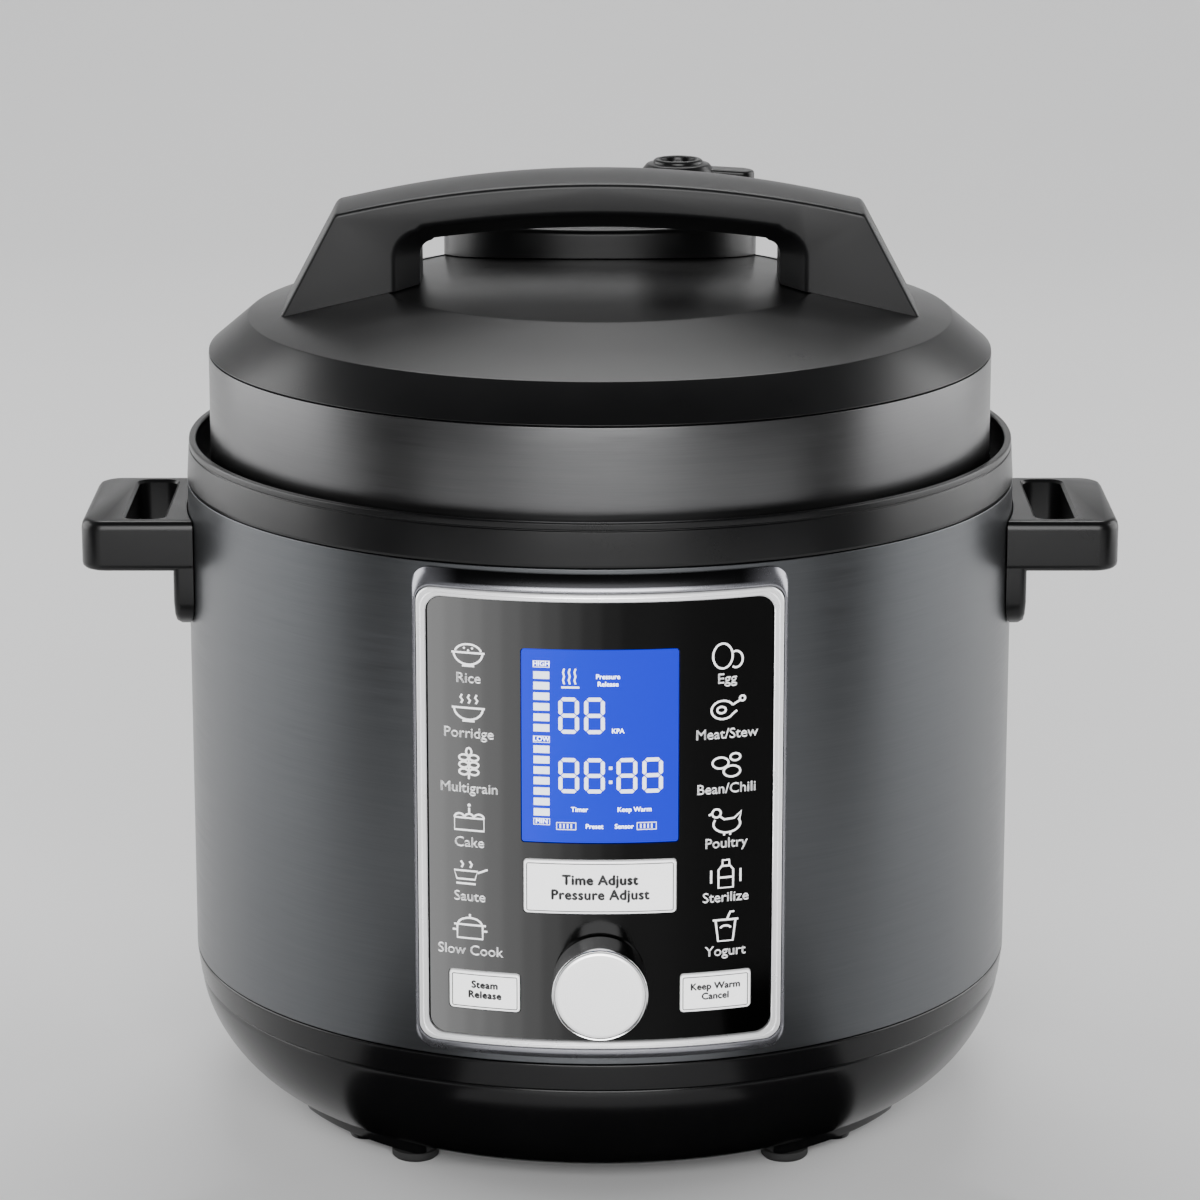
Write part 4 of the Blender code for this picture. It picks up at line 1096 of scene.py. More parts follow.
knob_profile = filleted([(0, 150.6), (13.6, 150.6), (13.7, 151.35), (14.1, 151.5), (14.5, 151.1),
                         (14.6, 149.5), (14.5, 138.2), (13.9, 137.5), (3, 137.5), (3, 123), (0, 123)],
                        [0, 0, 0.1, 0.15, 0.2, 0.6, 0.5, 0.3, 0.1, 0.2, 0], closed=False)
surface("knob_body", facing(turned_grid(knob_profile, 128), KNOB_Z), CHROME, "control_knob",
        ["control_knob"], close_columns=True, slot="chrome")
face_profile = filleted([(0, 151.42), (6, 151.42), (12.8, 151.4), (13.5, 151.2), (13.5, 150.9), (0, 150.9)],
                        [0, 0, 0.3, 0.15, 0, 0], closed=False)
satin = Finish("turned_silver", Base_Color=(0.86, 0.86, 0.86), Metallic=0.5)
radial = satin.node("ShaderNodeVectorMath", {"operation": "LENGTH"},
                    {0: satin.place((1, 0, 1), (0, 0, KNOB_Z))}, output=1)
lathe = satin.node("ShaderNodeTexNoise", {"noise_dimensions": "1D"},
                   {"W": radial, "Scale": 3.2, "Detail": 2.0})
satin.drive("Base Color", satin.mix(lathe, (0.80, 0.80, 0.80), (0.93, 0.93, 0.93)))
satin.drive("Roughness", 0.34 + 0.12 * lathe)
satin.bump(lathe, 0.004)
knob_front = surface("knob_cap", facing(turned_grid(face_profile, 96), KNOB_Z), satin.material,
                     "control_knob", ["knob_face"], close_columns=True, slot="satin_silver")
report()

# %% [markdown]
# ## Menu icons
#
# Twelve small line drawings stand above the menu words. Each is a set of strokes on a grid about ten
# units wide. A stroke is a ribbon: every point of its line is moved sideways by half the stroke's width
# along the line's normal, to both sides. Arcs are worked out from a centre, two radii and two angles.

# %% Icons
STROKE = 0.6


def arc(u, v, ru, rv, first, last, steps=14):
    """Points on an ellipse from one angle to another, in degrees anticlockwise from the right."""
    t = np.radians(np.linspace(first, last, steps))
    return [(u + ru * math.cos(a), v + rv * math.sin(a)) for a in t]


def ribbon(line):
    """The quads of a stroke along a line. Sideways = the line's direction turned by a right angle."""
    p = np.asarray(line, float)
    ring_line = np.allclose(p[0], p[-1])
    ahead = np.vstack([p[1:], p[1] if ring_line else p[-1]])
    behind = np.vstack([p[-2] if ring_line else p[0], p[:-1]])
    along = ahead - behind
    along /= np.linalg.norm(along, axis=1)[:, None]
    side = np.stack([-along[:, 1], along[:, 0]], 1) * STROKE / 2
    a, b = p + side, p - side
    return [[tuple(a[k]), tuple(a[k + 1]), tuple(b[k + 1]), tuple(b[k])] for k in range(len(p) - 1)]


def disc(u, v, r=0.35):
    """A small filled dot, as a list with one outline."""
    return [arc(u, v, r, r, 0, 330, 12)]


def strokes(*lines):
    """The quads of several strokes."""
    return [quad for line in lines for quad in ribbon(line)]


BOWL = [arc(0, 0.6, 4.3, 3.6, 180, 360), [(-4.9, 0.6), (4.9, 0.6)], [(-1.8, -3.4), (1.8, -3.4)]]
STEAM = [[(u, 2.0), (u + 0.5, 2.9), (u - 0.2, 3.8), (u + 0.3, 4.7)] for u in (-2.2, 0.0, 2.2)]
ICONS = {
    "Rice": (strokes(*BOWL, arc(0, 0.6, 3.9, 2.6, 10, 170)) + disc(-1.2, 2.0) + disc(1.2, 2.0)
             + disc(0, 1.3)),
    "Porridge": strokes(*BOWL, *STEAM),
    "Multigrain": strokes([(0, -4.4), (0, 3.2)], *[arc(u, v, 1.4, 0.9, 0, 360) for u in (-1.5, 1.5)
                                                   for v in (-2.2, 0.0, 2.2)],
                          arc(0, 4.0, 0.8, 1.2, 0, 360)),
    "Cake": strokes([(-4.4, -3.4), (4.4, -3.4), (4.4, 0.4), (-4.4, 0.4), (-4.4, -3.4)],
                    arc(-2.9, 0.4, 1.5, 1.3, 0, 180, 9), arc(0, 0.4, 1.4, 1.3, 0, 180, 9),
                    arc(2.9, 0.4, 1.5, 1.3, 0, 180, 9), [(0, 1.9), (0, 3.6)]) + disc(0, 4.4, 0.5),
    "Saute": strokes([(-4.6, 0.8), (-3.8, -1.8), (1.6, -1.8), (2.4, 0.8), (-4.6, 0.8)],
                     [(2.4, 0.3), (5.4, 1.6)], [(-4.0, -3.2), (1.8, -3.2)],
                     [(-2.4, 1.8), (-1.9, 2.8), (-2.6, 3.8)], [(0.2, 1.8), (0.7, 2.8), (0.0, 3.8)]),
    "Slow Cook": strokes([(-3.8, 0.8), (-3.8, -3.4), (3.8, -3.4), (3.8, 0.8)], [(-4.8, 0.8), (4.8, 0.8)],
                         arc(0, 0.8, 3.6, 2.2, 0, 180), [(-5.2, -0.9), (-3.8, -0.9)],
                         [(3.8, -0.9), (5.2, -0.9)], [(0, 3.0), (0, 4.2)]),
    "Egg": strokes(arc(-1.3, -0.2, 2.9, 3.8, 0, 360, 28), arc(2.6, -1.4, 2.0, 2.5, -120, 130, 14)),
    "Meat/Stew": strokes(arc(-1.2, 0.2, 3.4, 2.8, 30, 330, 22), [(1.7, 1.6), (4.2, 3.0)],
                         [(1.7, -1.2), (3.0, -0.2)], arc(4.6, 3.4, 0.8, 0.8, 0, 360, 12),
                         arc(-1.6, 0.2, 1.3, 1.0, 0, 360, 14)),
    "Bean/Chili": strokes(arc(-1.8, 0.8, 2.4, 1.7, 0, 360, 18), arc(1.6, -1.9, 2.5, 1.7, 0, 360, 18),
                          arc(2.6, 2.4, 1.5, 1.1, 0, 360, 14)),
    "Poultry": strokes(arc(0.2, -1.2, 4.0, 2.7, 150, 390, 24), arc(-2.9, 2.2, 1.3, 1.3, 0, 360, 14),
                       [(-4.2, 2.2), (-5.2, 1.7)],
                       [(-1.9, 1.2), (-0.6, 0.2), (2.4, 0.4), (4.6, 2.4), (3.9, 0.0)],
                       [(-0.6, -3.9), (-0.6, -4.8)], [(1.2, -3.9), (1.2, -4.8)]),
    "Sterilize": strokes([(-2.2, -4.2), (2.2, -4.2), (2.2, 1.4), (1.2, 2.6), (-1.2, 2.6), (-2.2, 1.4),
                          (-2.2, -4.2)], [(-1.0, 2.8), (-1.0, 4.4), (1.0, 4.4), (1.0, 2.8)],
                         [(-4.4, -2.6), (-4.4, 1.4)], [(4.4, -2.6), (4.4, 1.4)], [(-2.2, -1.0), (2.2, -1.0)]),
    "Yogurt": strokes([(-3.0, 2.6), (-2.2, -4.0), (2.2, -4.0), (3.0, 2.6)], [(-3.8, 2.6), (3.8, 2.6)],
                      [(0.4, 2.6), (1.4, 5.0), (2.6, 5.0)], arc(0, 0.0, 1.5, 0.8, 0, 180, 8)),
}
ICON_SCALE, ICON_RISE = 1.02, 8.7
icon_quads = []
for word, centre_u, base_v in label_lines:
    icon_quads += [[(centre_u + u * ICON_SCALE, base_v + ICON_RISE + v * ICON_SCALE) for u, v in polygon]
                   for polygon in ICONS[word]]
menu_icons = flat_pieces("menu_icons", icon_quads, PRINT_R, WHITE_INK, "root")
report()

# %% [markdown]
# ## Valve housing
#
# A low oval block stands behind the handle and holds both valves. Its outline is an ellipse. Levels
# run up its wall, round its upper edge and across its flat top, and its lower edge follows the cover.

# %% Valve housing
HOUSING_X = span("valve_housing", 0)[1]
HOUSING_Y = span("valve_housing", 1)
HOUSING_TOP = span("valve_housing", 2)[1]
housing_centre = sum(HOUSING_Y) / 2
housing_radii = np.array([HOUSING_X, (HOUSING_Y[1] - HOUSING_Y[0]) / 2])
angle = np.linspace(0, 2 * np.pi, 128, endpoint=False)
circle_points = np.stack([np.cos(angle), np.sin(angle)], -1)


def oval(inset, z):
    """The housing's ellipse drawn in by inset. z may be a height, or None for the cover's own height."""
    flat = circle_points * (housing_radii - inset) + [0, housing_centre]
    return level(flat, z) if z else np.column_stack([flat, cover_height(np.hypot(*flat.T)) + 0.1])


fillet = np.linspace(0, np.pi / 2, 6)
levels = [oval(3.0, None), oval(0.0, None)]
levels += [oval(2.0 * (1 - math.cos(a)), HOUSING_TOP - 2.0 + 2.0 * math.sin(a)) for a in fillet]
levels += [oval(k, HOUSING_TOP) for k in (8, 14, 20, 26, 29.5)]
under = [oval(3.0, HOUSING_TOP - 3.0)] + [oval(k, HOUSING_TOP - 3.0) for k in (14, 22, 29.5)]
housing = surface("valve_block", np.array(under[::-1] + levels), BLACK_SATIN, "lid", ["valve_housing"],
                  close_columns=True, caps=True, slot="black_plastic", smooth=40)
carve(housing, [rod(VENT_AT, 5.4, (255, 290)), rod(FLOAT_AT, 5.0, (255, 290))])
report()

# %% [markdown]
# ## Steam release valve
#
# The weight has a wide, flat drum and a narrow ring on top. Steam leaves through the ring, between the
# spokes of a small hub. A flat lever with a rounded end turns the valve, and falls a little outwards.

# %% Steam valve and float valve
valve_top = span("steam_valve", 2)[1]
LEVER_FALL = 0.06
weight = turned("valve_weight", [
    (0, valve_top - 3.4), (5.5, valve_top - 3.4), (5.9, valve_top - 0.4), (6.5, valve_top), (7.6, valve_top),
    (8.2, valve_top - 0.5), (8.3, valve_top - 1.2), (10.4, valve_top - 1.5), (12.4, valve_top - 3.9),
    (12.4, 288.0), (9.0, 286.0), (9.0, 282.2), (0, 282.2)],
    [0, 0.4, 0.3, 0.4, 0.4, 0.3, 0.3, 1.2, 1.4, 0.6, 0.4, 0.2, 0], BLACK_SATIN, "steam_valve",
    ["steam_valve"], segments=128, centre=VENT_AT, slot="black_plastic", steps=5)
carve(weight, [rod(VENT_AT, 4.8, (280, 292))])
turned("valve_hub", [
    (0, valve_top - 0.9), (2.0, valve_top - 0.9), (2.3, valve_top - 3.3), (0, valve_top - 3.3)],
    [0, 0.4, 0.1, 0], BLACK_SATIN, "steam_valve", segments=48, centre=VENT_AT, slot="black_plastic")
for k in range(3):
    turn = math.radians(120 * k + 90)
    ahead, aside = np.array([math.cos(turn), math.sin(turn)]), np.array([-math.sin(turn), math.cos(turn)])
    flat, _ = outline(2.4, 0.55, 0.3, 4, centre=(3.7, 0))
    spoke = VENT_AT + flat[:, :1] * ahead + flat[:, 1:] * aside
    rows = np.array([level(spoke, valve_top - drop) for drop in (3.5, 1.2)])
    surface(f"valve_spoke_{k + 1}", rows, BLACK_SATIN, "steam_valve", close_columns=True, caps=True,
            slot="black_plastic")

lever_points, lever_normals = outline(10.7, 4.8, 4.6, 10, centre=(VENT_AT[0] + 14.8, VENT_AT[1]))
lever_rows = [level(lever_points - lever_normals * inset, z)
              for inset, z in ((0.5, 291.5), (0.15, 291.65), (0, 292.0))]
for inset, drop in ((0, 0.9), (0.1, 0.45), (0.4, 0.12), (0.9, 0.0), (2.0, 0.0)):
    flat = lever_points - lever_normals * inset
    height = valve_top - 2.3 - LEVER_FALL * (flat[:, 0] - VENT_AT[0]) - drop
    lever_rows.append(np.column_stack([flat, height]))
surface("valve_lever", np.array(lever_rows), BLACK_SATIN, "steam_valve", close_columns=True, caps=True,
        slot="black_plastic")

turned("float_pin", [(0, 281.35), (3.7, 281.35), (4.2, 280.9), (4.2, 277.5), (2.5, 276), (2.5, 213.2),
                     (4, 213.2), (4, 212), (0, 212)], [0, 0.3, 0.2, 0.3, 0.2, 0.2, 0.1, 0.1, 0],
       BRIGHT_STEEL, "float_valve", ["float_valve"], segments=48, centre=FLOAT_AT, slot="bright_steel")
turned("float_gasket", [(6.4, 216.4), (6.4, 213.6), (2.9, 213.6), (2.9, 216.4)], 0.5, SILICONE,
       "float_valve", ["float_seal"], segments=48, centre=FLOAT_AT, slot="silicone")
turned("vent_tube", [(4, 290), (4, 229.2), (7, 229.2), (7, 224.3), (4, 224.3), (4, 214), (2, 214), (2, 290)],
       [0.4, 0.4, 0.5, 0.3, 0.3, 0.4, 0.4, 0.4], BRIGHT_STEEL, "lid", ["vent_pipe"], segments=48,
       centre=VENT_AT, slot="bright_steel")
report()

# %% [markdown]
# ## Side handles
#
# Each handle is a curved plate against the steel and a bar that stands out at its top. The bar is a
# stack of rounded rectangles whose inner side follows the body. The finger hole goes right through it.

# %% Side handles
def on_side(half, corner, inner_r, out, z, steps=8):
    """One level of a handle: a rounded outer side at distance out, an inner side along the body."""
    angle = np.linspace(-np.pi / 2, 0, steps + 1)
    flat = half - corner
    across = np.concatenate([corner * np.sin(angle) - flat, np.linspace(-flat, flat, 17)[1:-1],
                             flat - corner * np.sin(angle[::-1])])
    outward = np.concatenate([out - corner + corner * np.cos(angle), np.full(15, float(out)),
                              out - corner + corner * np.cos(angle[::-1])])
    inner_across = np.linspace(half, -half, 33)
    inner = np.sqrt(inner_r ** 2 - inner_across ** 2)
    return level(np.stack([np.concatenate([outward, inner]), np.concatenate([across, inner_across])], 1), z)


SIDE_TOP = span("side_handle_right", 2)[1]
SIDE_OUT = span("side_handle_right", 0)[1]
SIDE_LOW = span("side_handle_right", 2)[0]
plate_levels = [(SIDE_LOW, 24.6, 135.3, 0.8), (SIDE_LOW + 0.4, 25.2, 135.7, 1.0),
                (SIDE_LOW + 1.6, 28.4, 136.5, 2.0), (SIDE_LOW + 4.3, 31.4, 136.8, 2.3),
                (SIDE_LOW + 8.3, 32.6, 137.0, 2.4), (SIDE_TOP - 1.4, 32.8, 137.0, 2.4)]
bar_low, bar_high = 180.5, SIDE_TOP
bar_levels = [(bar_low, 31.2, SIDE_OUT - 2.0, 6.0), (bar_low + 0.35, 32.0, SIDE_OUT - 1.0, 6.5),
              (bar_low + 1.2, 32.8, SIDE_OUT - 0.2, 7.0), (bar_low + 2.4, 33.0, SIDE_OUT, 7.0),
              (bar_high - 3.0, 33.0, SIDE_OUT, 7.0), (bar_high - 1.4, 32.8, SIDE_OUT - 0.3, 7.0),
              (bar_high - 0.4, 32.0, SIDE_OUT - 1.1, 6.5), (bar_high, 31.0, SIDE_OUT - 2.1, 6.0)]


def bracket(name, node, parts, holes=()):
    """Union of the stacked parts, less the holes."""
    piece = link(name, solid(parts[0]))
    piece.data.materials.append(BLACK_SATIN)
    carve(piece, [solid(part) for part in parts[1:]], "UNION")
    carve(piece, [solid(hole) for hole in holes])
    return ride(piece, "root", [node])


hole_points, hole_normals = outline(6.35, 28.0, 4.0, 8, centre=(146.35, 0))
hole_levels = np.array([level(hole_points + hole_normals * grow, z) for grow, z in (
    (0.9, bar_low - 0.6), (0.9, bar_low), (0.0, bar_low + 0.9), (0.0, bar_high - 0.9), (0.9, bar_high),
    (0.9, bar_high + 0.6))])
plate = np.array([on_side(half, corner, 134.4, out, z) for z, half, out, corner in plate_levels])
bar_grid = np.array([on_side(half, corner, 134.5, out, z) for z, half, out, corner in bar_levels])
for side, sign in (("right", 1), ("left", -1)):
    mirror = [sign, 1, 1]
    bracket(f"handle_{side}", f"side_handle_{side}", [plate * mirror, bar_grid * mirror],
            [hole_levels * mirror])
report()

# %% [markdown]
# ## Spun metal
#
# Pots and lids are spun or turned, so their scratches are circles about the axis. The sum of radius and
# height changes across every such scratch, on walls and floors alike, and never along it. One dimension
# of noise over that sum gives the rings.

# %% Spun finishes
def spun_metal(name, colour, roughness, fineness=2.4, contrast=0.08):
    """Rings about the Z axis, with faint clouds over them."""
    made = Finish(name, Base_Color=colour, Metallic=1.0)
    radius = made.node("ShaderNodeVectorMath", {"operation": "LENGTH"}, {0: made.place((1, 1, 0))}, output=1)
    rings = made.node("ShaderNodeTexNoise", {"noise_dimensions": "1D"},
                      {"W": radius + made.axis(2), "Scale": fineness, "Detail": 3.0})
    cloud = made.noise(30, detail=3.0)
    grain = rings * 0.7 + cloud * 0.3
    made.drive("Base Color", made.mix(grain, scaled(colour, 1 - contrast), scaled(colour, 1 + contrast)))
    made.drive("Roughness", roughness - 0.05 + 0.12 * grain)
    made.bump(rings, 0.006)
    return made.material


SPUN_STEEL = spun_metal("spun_pot_steel", (0.64, 0.64, 0.64), 0.24)
SPUN_BRIGHT = spun_metal("spun_bright_steel", (0.70, 0.70, 0.71), 0.15, fineness=1.4, contrast=0.05)
SPUN_ALUMINIUM = spun_metal("spun_aluminium", (0.68, 0.68, 0.69), 0.34, fineness=1.8)
print("nodes in a spun finish:", len(SPUN_STEEL.node_tree.nodes))

# %% [markdown]
# ## Bayonet
#
# The liner's rim carries six lugs, and the pressure lid six tabs that pass between them and then slide
# below. Both are the same idea: where the angle is near the middle of a sector, the rim's radius moves
# from its root to the lug's reach. A smooth step over the ramp, 3 t^2 - 2 t^3, rounds its corners.

# %% Pots and pressure lid
LUGS = 6
RING_STEPS = 384


def bayonet(profile, is_rim, reach, first, plateau, ramp):
    """Carry a profile round, and move the rows in is_rim to a new radius over each sector's middle."""
    grid = turned_grid(profile, RING_STEPS)
    degrees = 360 * np.arange(RING_STEPS) / RING_STEPS
    pitch = 360 / LUGS
    from_middle = np.abs((degrees - first + pitch / 2) % pitch - pitch / 2)
    t = np.clip((ramp - from_middle) / (ramp - plateau), 0, 1)
    share = 3 * t ** 2 - 2 * t ** 3
    root = np.where(is_rim, profile[:, 0], reach)
    factor = 1 + (reach / root - 1)[:, None] * share[None]
    grid[..., :2] *= factor[..., None]
    return grid


liner_profile = filleted([
    (115.5, 211.0), (117.8, 211.0), (117.8, 209.5), (116.5, 209.4), (116.5, 202.2), (130.1, 202.2),
    (130.1, 200.8), (116.5, 200.8), (116.5, 52.2), (114.3, 50.0), (32.5, 50.0), (32.5, 51.2), (113.8, 51.2),
    (115.5, 52.9)], [0.5, 0.4, 0.4, 0.3, 0.6, 0.4, 0.4, 0.5, 1.5, 1.5, 0.3, 0.3, 1.5, 1.5])
on_lug = (liner_profile[:, 0] > 117.1) & (liner_profile[:, 1] > 209)
surface("liner", bayonet(liner_profile, on_lug, 122.0, 0.0, 15.0, 22.5), SPUN_BRIGHT, "root", ["outer_pot"],
        close_rows=True, close_columns=True, slot="bright_steel", smooth=40)

turned("cooking_pot", [
    (0, 70.4), (103.2, 70.4), (111.9, 80.6), (112.1, 208.4), (113.4, 212.6), (118.2, 212.6), (118.2, 211.4),
    (114.2, 211.4), (113.3, 208.0), (113.3, 80.0), (104.0, 68.9), (0, 68.9)],
    [0, 9, 9, 2.5, 1.2, 0.55, 0.55, 0.6, 2.5, 10, 10, 0], SPUN_STEEL, "inner_pot", ["inner_pot"],
    segments=256, steps=6, slot="pot_steel")

lid_profile = filleted([
    (0, 224.0), (60, 224.0), (116.0, 224.0), (122.6, 221.4), (124.7, 218.0), (124.7, 205.5), (123.2, 205.5),
    (123.2, 207.4), (123.0, 208.2), (123.0, 217.5), (121.5, 220.3), (115.5, 222.6), (0, 222.6)],
    [0, 0, 4, 3, 3, 0.4, 0.3, 0.3, 0.3, 2, 2, 3, 0], closed=False)
on_tab = (lid_profile[:, 1] < 207.8) & (lid_profile[:, 0] < 123.9)
pressure_lid = surface("pressure_lid", bayonet(lid_profile, on_tab, 119.4, 30.0, 1.6, 7.3), SPUN_BRIGHT,
                       "lid", ["steel_lid"], close_columns=True, slot="bright_steel", smooth=40)
carve(pressure_lid, [rod(VENT_AT, 4.7, (215, 230)), rod(FLOAT_AT, 3.2, (215, 230))])

turned("seal", [
    (121.8, 217.5), (121.9, 212.9), (112.6, 212.9), (112.0, 215.0), (113.5, 218.8), (120.3, 218.8)],
    [1.2, 0.8, 0.8, 1.2, 1.0, 0.8], SILICONE, "lid_seal", ["sealing_ring"], segments=256, slot="silicone")
turned("lid_nut_dome", [(0, 216.5), (6.2, 216.5), (9.0, 219.0), (9.0, 222.3), (0, 222.3)],
       [0, 0.8, 0.8, 0.2, 0], BRIGHT_STEEL, "lid", ["lid_nut"], segments=64, slot="zinc")
shield = turned("steam_strainer", [(0, 211.0), (11.0, 211.0), (11.0, 222.3), (10.2, 222.3), (10.0, 212.0),
                                   (0, 212.0)], [0, 1.2, 0.2, 0.2, 0.6, 0], SPUN_BRIGHT, "lid",
                ["anti_block_shield"], segments=72, centre=VENT_AT, slot="bright_steel")
carve(shield, [rod(place, 0.9, (214.0, 220.0), 16) for place in circle(10.6, VENT_AT, 12)])
report()

# %% [markdown]
# ## Heater
#
# A cast plate carries the heating ring on its underside, and a sprung sensor stands in its middle. All
# of them are turned, the ring's tube included.

# %% Heater
turned("hot_plate", [
    (14.5, 68.4), (96.5, 68.4), (100.0, 66.8), (100.0, 60.3), (91.0, 60.3), (91.0, 51.5), (88.0, 51.5),
    (88.0, 60.3), (14.5, 60.3)], [0.8, 2, 1, 0.8, 1, 0.3, 0.3, 1, 0.8], SPUN_ALUMINIUM, "root",
    ["heating_plate"], segments=192, slot="aluminium")
tube_angle = np.linspace(0, 2 * np.pi, 24, endpoint=False)
tube = np.stack([62.0 + 3.4 * np.cos(tube_angle), 56.3 + 3.4 * np.sin(tube_angle)], 1)
surface("heating_ring", turned_grid(tube, 160), ZINC, "root", ["heating_element"], close_rows=True,
        close_columns=True, slot="zinc", smooth=60)
turned("sensor_button", [
    (0, 68.5), (10.6, 68.5), (12.5, 67.3), (12.5, 58.0), (9.8, 58.0), (9.8, 44.0), (0, 44.0)],
    [0, 1.0, 0.8, 0.5, 0.4, 0.6, 0], SPUN_ALUMINIUM, "temperature_sensor", ["temperature_sensor"],
    segments=72, slot="aluminium")
turned("sensor_plate", [(40.0, 49.6), (40.0, 46.6), (10.4, 46.6), (10.4, 49.6)], 0.5, ZINC, "root",
       ["sensor_bracket"], segments=96, slot="zinc")
report()

# %% [markdown]
# ## Blocks
#
# Boards, switches and connectors are blocks with small radii. A block takes its size from its solid, and
# is a stack of rounded rectangles: drawn in at its foot, full, and drawn in again at its top.

# %% Soft blocks
def soft_block(name, box, edge, finish, body, replaces=(), slot=None, corner=None, axis=2):
    """A block between two corners in millimetres, standing along an axis, with rounded edges."""
    low, high = np.array(box[0], float), np.array(box[1], float)
    flat = [k for k in range(3) if k != axis]
    half, centre = (high - low)[flat] / 2, (high + low)[flat] / 2
    corner = corner or edge * 1.5
    quarter = np.linspace(0, np.pi / 2, 4)
    inset = edge * (1 - np.sin(quarter))
    rise = edge * (1 - np.cos(quarter))
    levels = [(i, low[axis] + r) for i, r in zip(inset, rise)]
    levels += [(i, high[axis] - r) for i, r in zip(inset[::-1], rise[::-1])]
    points, normals = outline(*half, corner, 4, centre=centre)
    grid = np.empty((len(levels), len(points), 3))
    for k, (drawn_in, level) in enumerate(levels):
        grid[k][:, flat] = points - normals * drawn_in
        grid[k][:, axis] = level
    return surface(name, grid, finish, body, replaces, close_columns=True, caps=True, slot=slot)


def node_box(node):
    """The lowest and the highest corner of a CAD node, in millimetres."""
    low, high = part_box(node)
    return [c / MM for c in low], [c / MM for c in high]


soft_block("power_circuit", node_box("power_board"), 0.2, BOARD_GREEN, "root", ["power_board"],
           "circuit_board", 2.0)
soft_block("relay_case", node_box("relay"), 0.5, GREY_PLASTIC, "root", ["relay"], "component")
core_low, core_high = node_box("transformer")
soft_block("bobbin", (core_low, (core_high[0], core_high[1], core_low[2] + 4.0)), 0.4, CERAMIC_WHITE, "root",
           ["transformer"], "component")
soft_block("core_plates", ((-38, core_low[1], 29.7), (-22, core_high[1], core_high[2])), 0.3, ZINC, "root",
           slot="zinc")
soft_block("winding", ((-41, -7, 29.8), (-20, 11, 41)), 1.5, COPPER, "root", slot="component")
BOARD_TOP = 25.7
CAPACITORS = ((-6, -18, 5.0, 39.0), (7, -20, 4.0, 36.0), (2, 24, 4.0, 35.0))
for number, (x, y, radius, high) in enumerate(CAPACITORS, 1):
    turned(f"capacitor_{number}", [
        (0, BOARD_TOP), (radius - 0.4, BOARD_TOP), (radius - 0.4, BOARD_TOP + 0.9), (radius, BOARD_TOP + 1.5),
        (radius, high), (radius - 1.0, high + 0.4), (0, high + 0.2)], [0, 0.2, 0.2, 0.2, 0.5, 0.2, 0],
        GREY_PLASTIC, "root", segments=40, centre=(x, y), slot="component")
for name, low, high in (("mains_block", (24, -30, BOARD_TOP), (46, -18, 35)),
                        ("heater_block", (-46, -30, BOARD_TOP), (-28, -20, 34))):
    soft_block(name, (low, high), 0.6, CERAMIC_WHITE, "root", slot="component")
report()

# %% Control board
soft_block("control_circuit", node_box("control_board"), 0.2, BOARD_GREEN, "root", ["control_board"],
           "circuit_board", 2.0, axis=1)
soft_block("display_case", node_box("lcd_module"), 0.5, CERAMIC_WHITE, "root", ["lcd_module"],
           "component", axis=1)
encoder = soft_block("encoder_case", node_box("rotary_encoder"), 0.4, ZINC, "root", ["rotary_encoder"],
                     "component", axis=1)
bore = turned_grid(np.array([(3.5, 121.5), (3.5, 130.0)]), 40)
carve(encoder, [solid(facing(bore, KNOB_Z))])
for number in (1, 2, 3):
    low, high = node_box(f"tact_switch_{number}")
    middle_x, middle_z = (low[0] + high[0]) / 2, (low[2] + high[2]) / 2
    soft_block(f"switch_case_{number}", ((low[0], low[1] + 0.8, low[2]), high), 0.25, ZINC, "root",
               [f"tact_switch_{number}"], "component", axis=1)
    front = -low[1]
    plunger = filleted([(0, front), (1.6, front), (1.6, front - 1.2), (0, front - 1.2)],
                       [0, 0.2, 0.1, 0], closed=False)
    surface(f"switch_plunger_{number}", facing(turned_grid(plunger, 32, (middle_x, 0)), middle_z),
            BLACK_SATIN, "root", close_columns=True, slot="component")


def upright_levels(levels, centre_z):
    """Upright rounded rectangles, one for each (half width, half height, corner, y)."""
    return np.array([upright(outline(half_u, half_v, corner, 6, centre=(0, centre_z))[0], y)
                     for half_u, half_v, corner, y in levels])


surface("panel_carrier", upright_levels((
    (50.5, 69.6, 2.0, -118.0), (50.5, 69.6, 2.0, -123.6), (50.1, 69.2, 1.8, -124.0),
    (49.1, 68.0, 1.2, -124.0), (48.7, 67.6, 1.0, -123.6), (48.7, 67.6, 1.0, -118.0)), 127.8),
    BLACK_SATIN, "root", ["panel_chassis"], close_rows=True, close_columns=True, slot="black_plastic")
report()

# %% [markdown]
# ## Back and underside
#
# The mains inlet is a box with a mouth and three pins. Above it hangs the clear cup that catches
# condensed water, in a holder moulded like the side handles. A slotted plate closes the bowl below.

# %% Mains inlet and cup hanger
inlet_middle = sum(INLET_Z) / 2
inlet_half = (INLET_Z[1] - INLET_Z[0]) / 2
surface("mains_inlet", upright_levels((
    (INLET_X[1], inlet_half, 3.0, 101.0), (INLET_X[1], inlet_half, 3.0, 131.1),
    (INLET_X[1] - 0.15, inlet_half - 0.15, 2.9, 131.4), (INLET_X[1] - 0.5, inlet_half - 0.5, 2.7, 131.5),
    (12.6, 8.8, 2.8, 131.5), (12.25, 8.45, 2.6, 131.35), (12.1, 8.3, 2.5, 131.0),
    (12.1, 8.3, 2.5, 112.0)), inlet_middle), BLACK_SATIN, "root", ["power_inlet"], close_columns=True,
    caps=True, slot="black_plastic")
for pin in ("line", "neutral", "earth"):
    soft_block(f"blade_{pin}", node_box(f"inlet_pin_{pin}"), 0.35, BRIGHT_STEEL, "root",
               [f"inlet_pin_{pin}"], "zinc", axis=1)

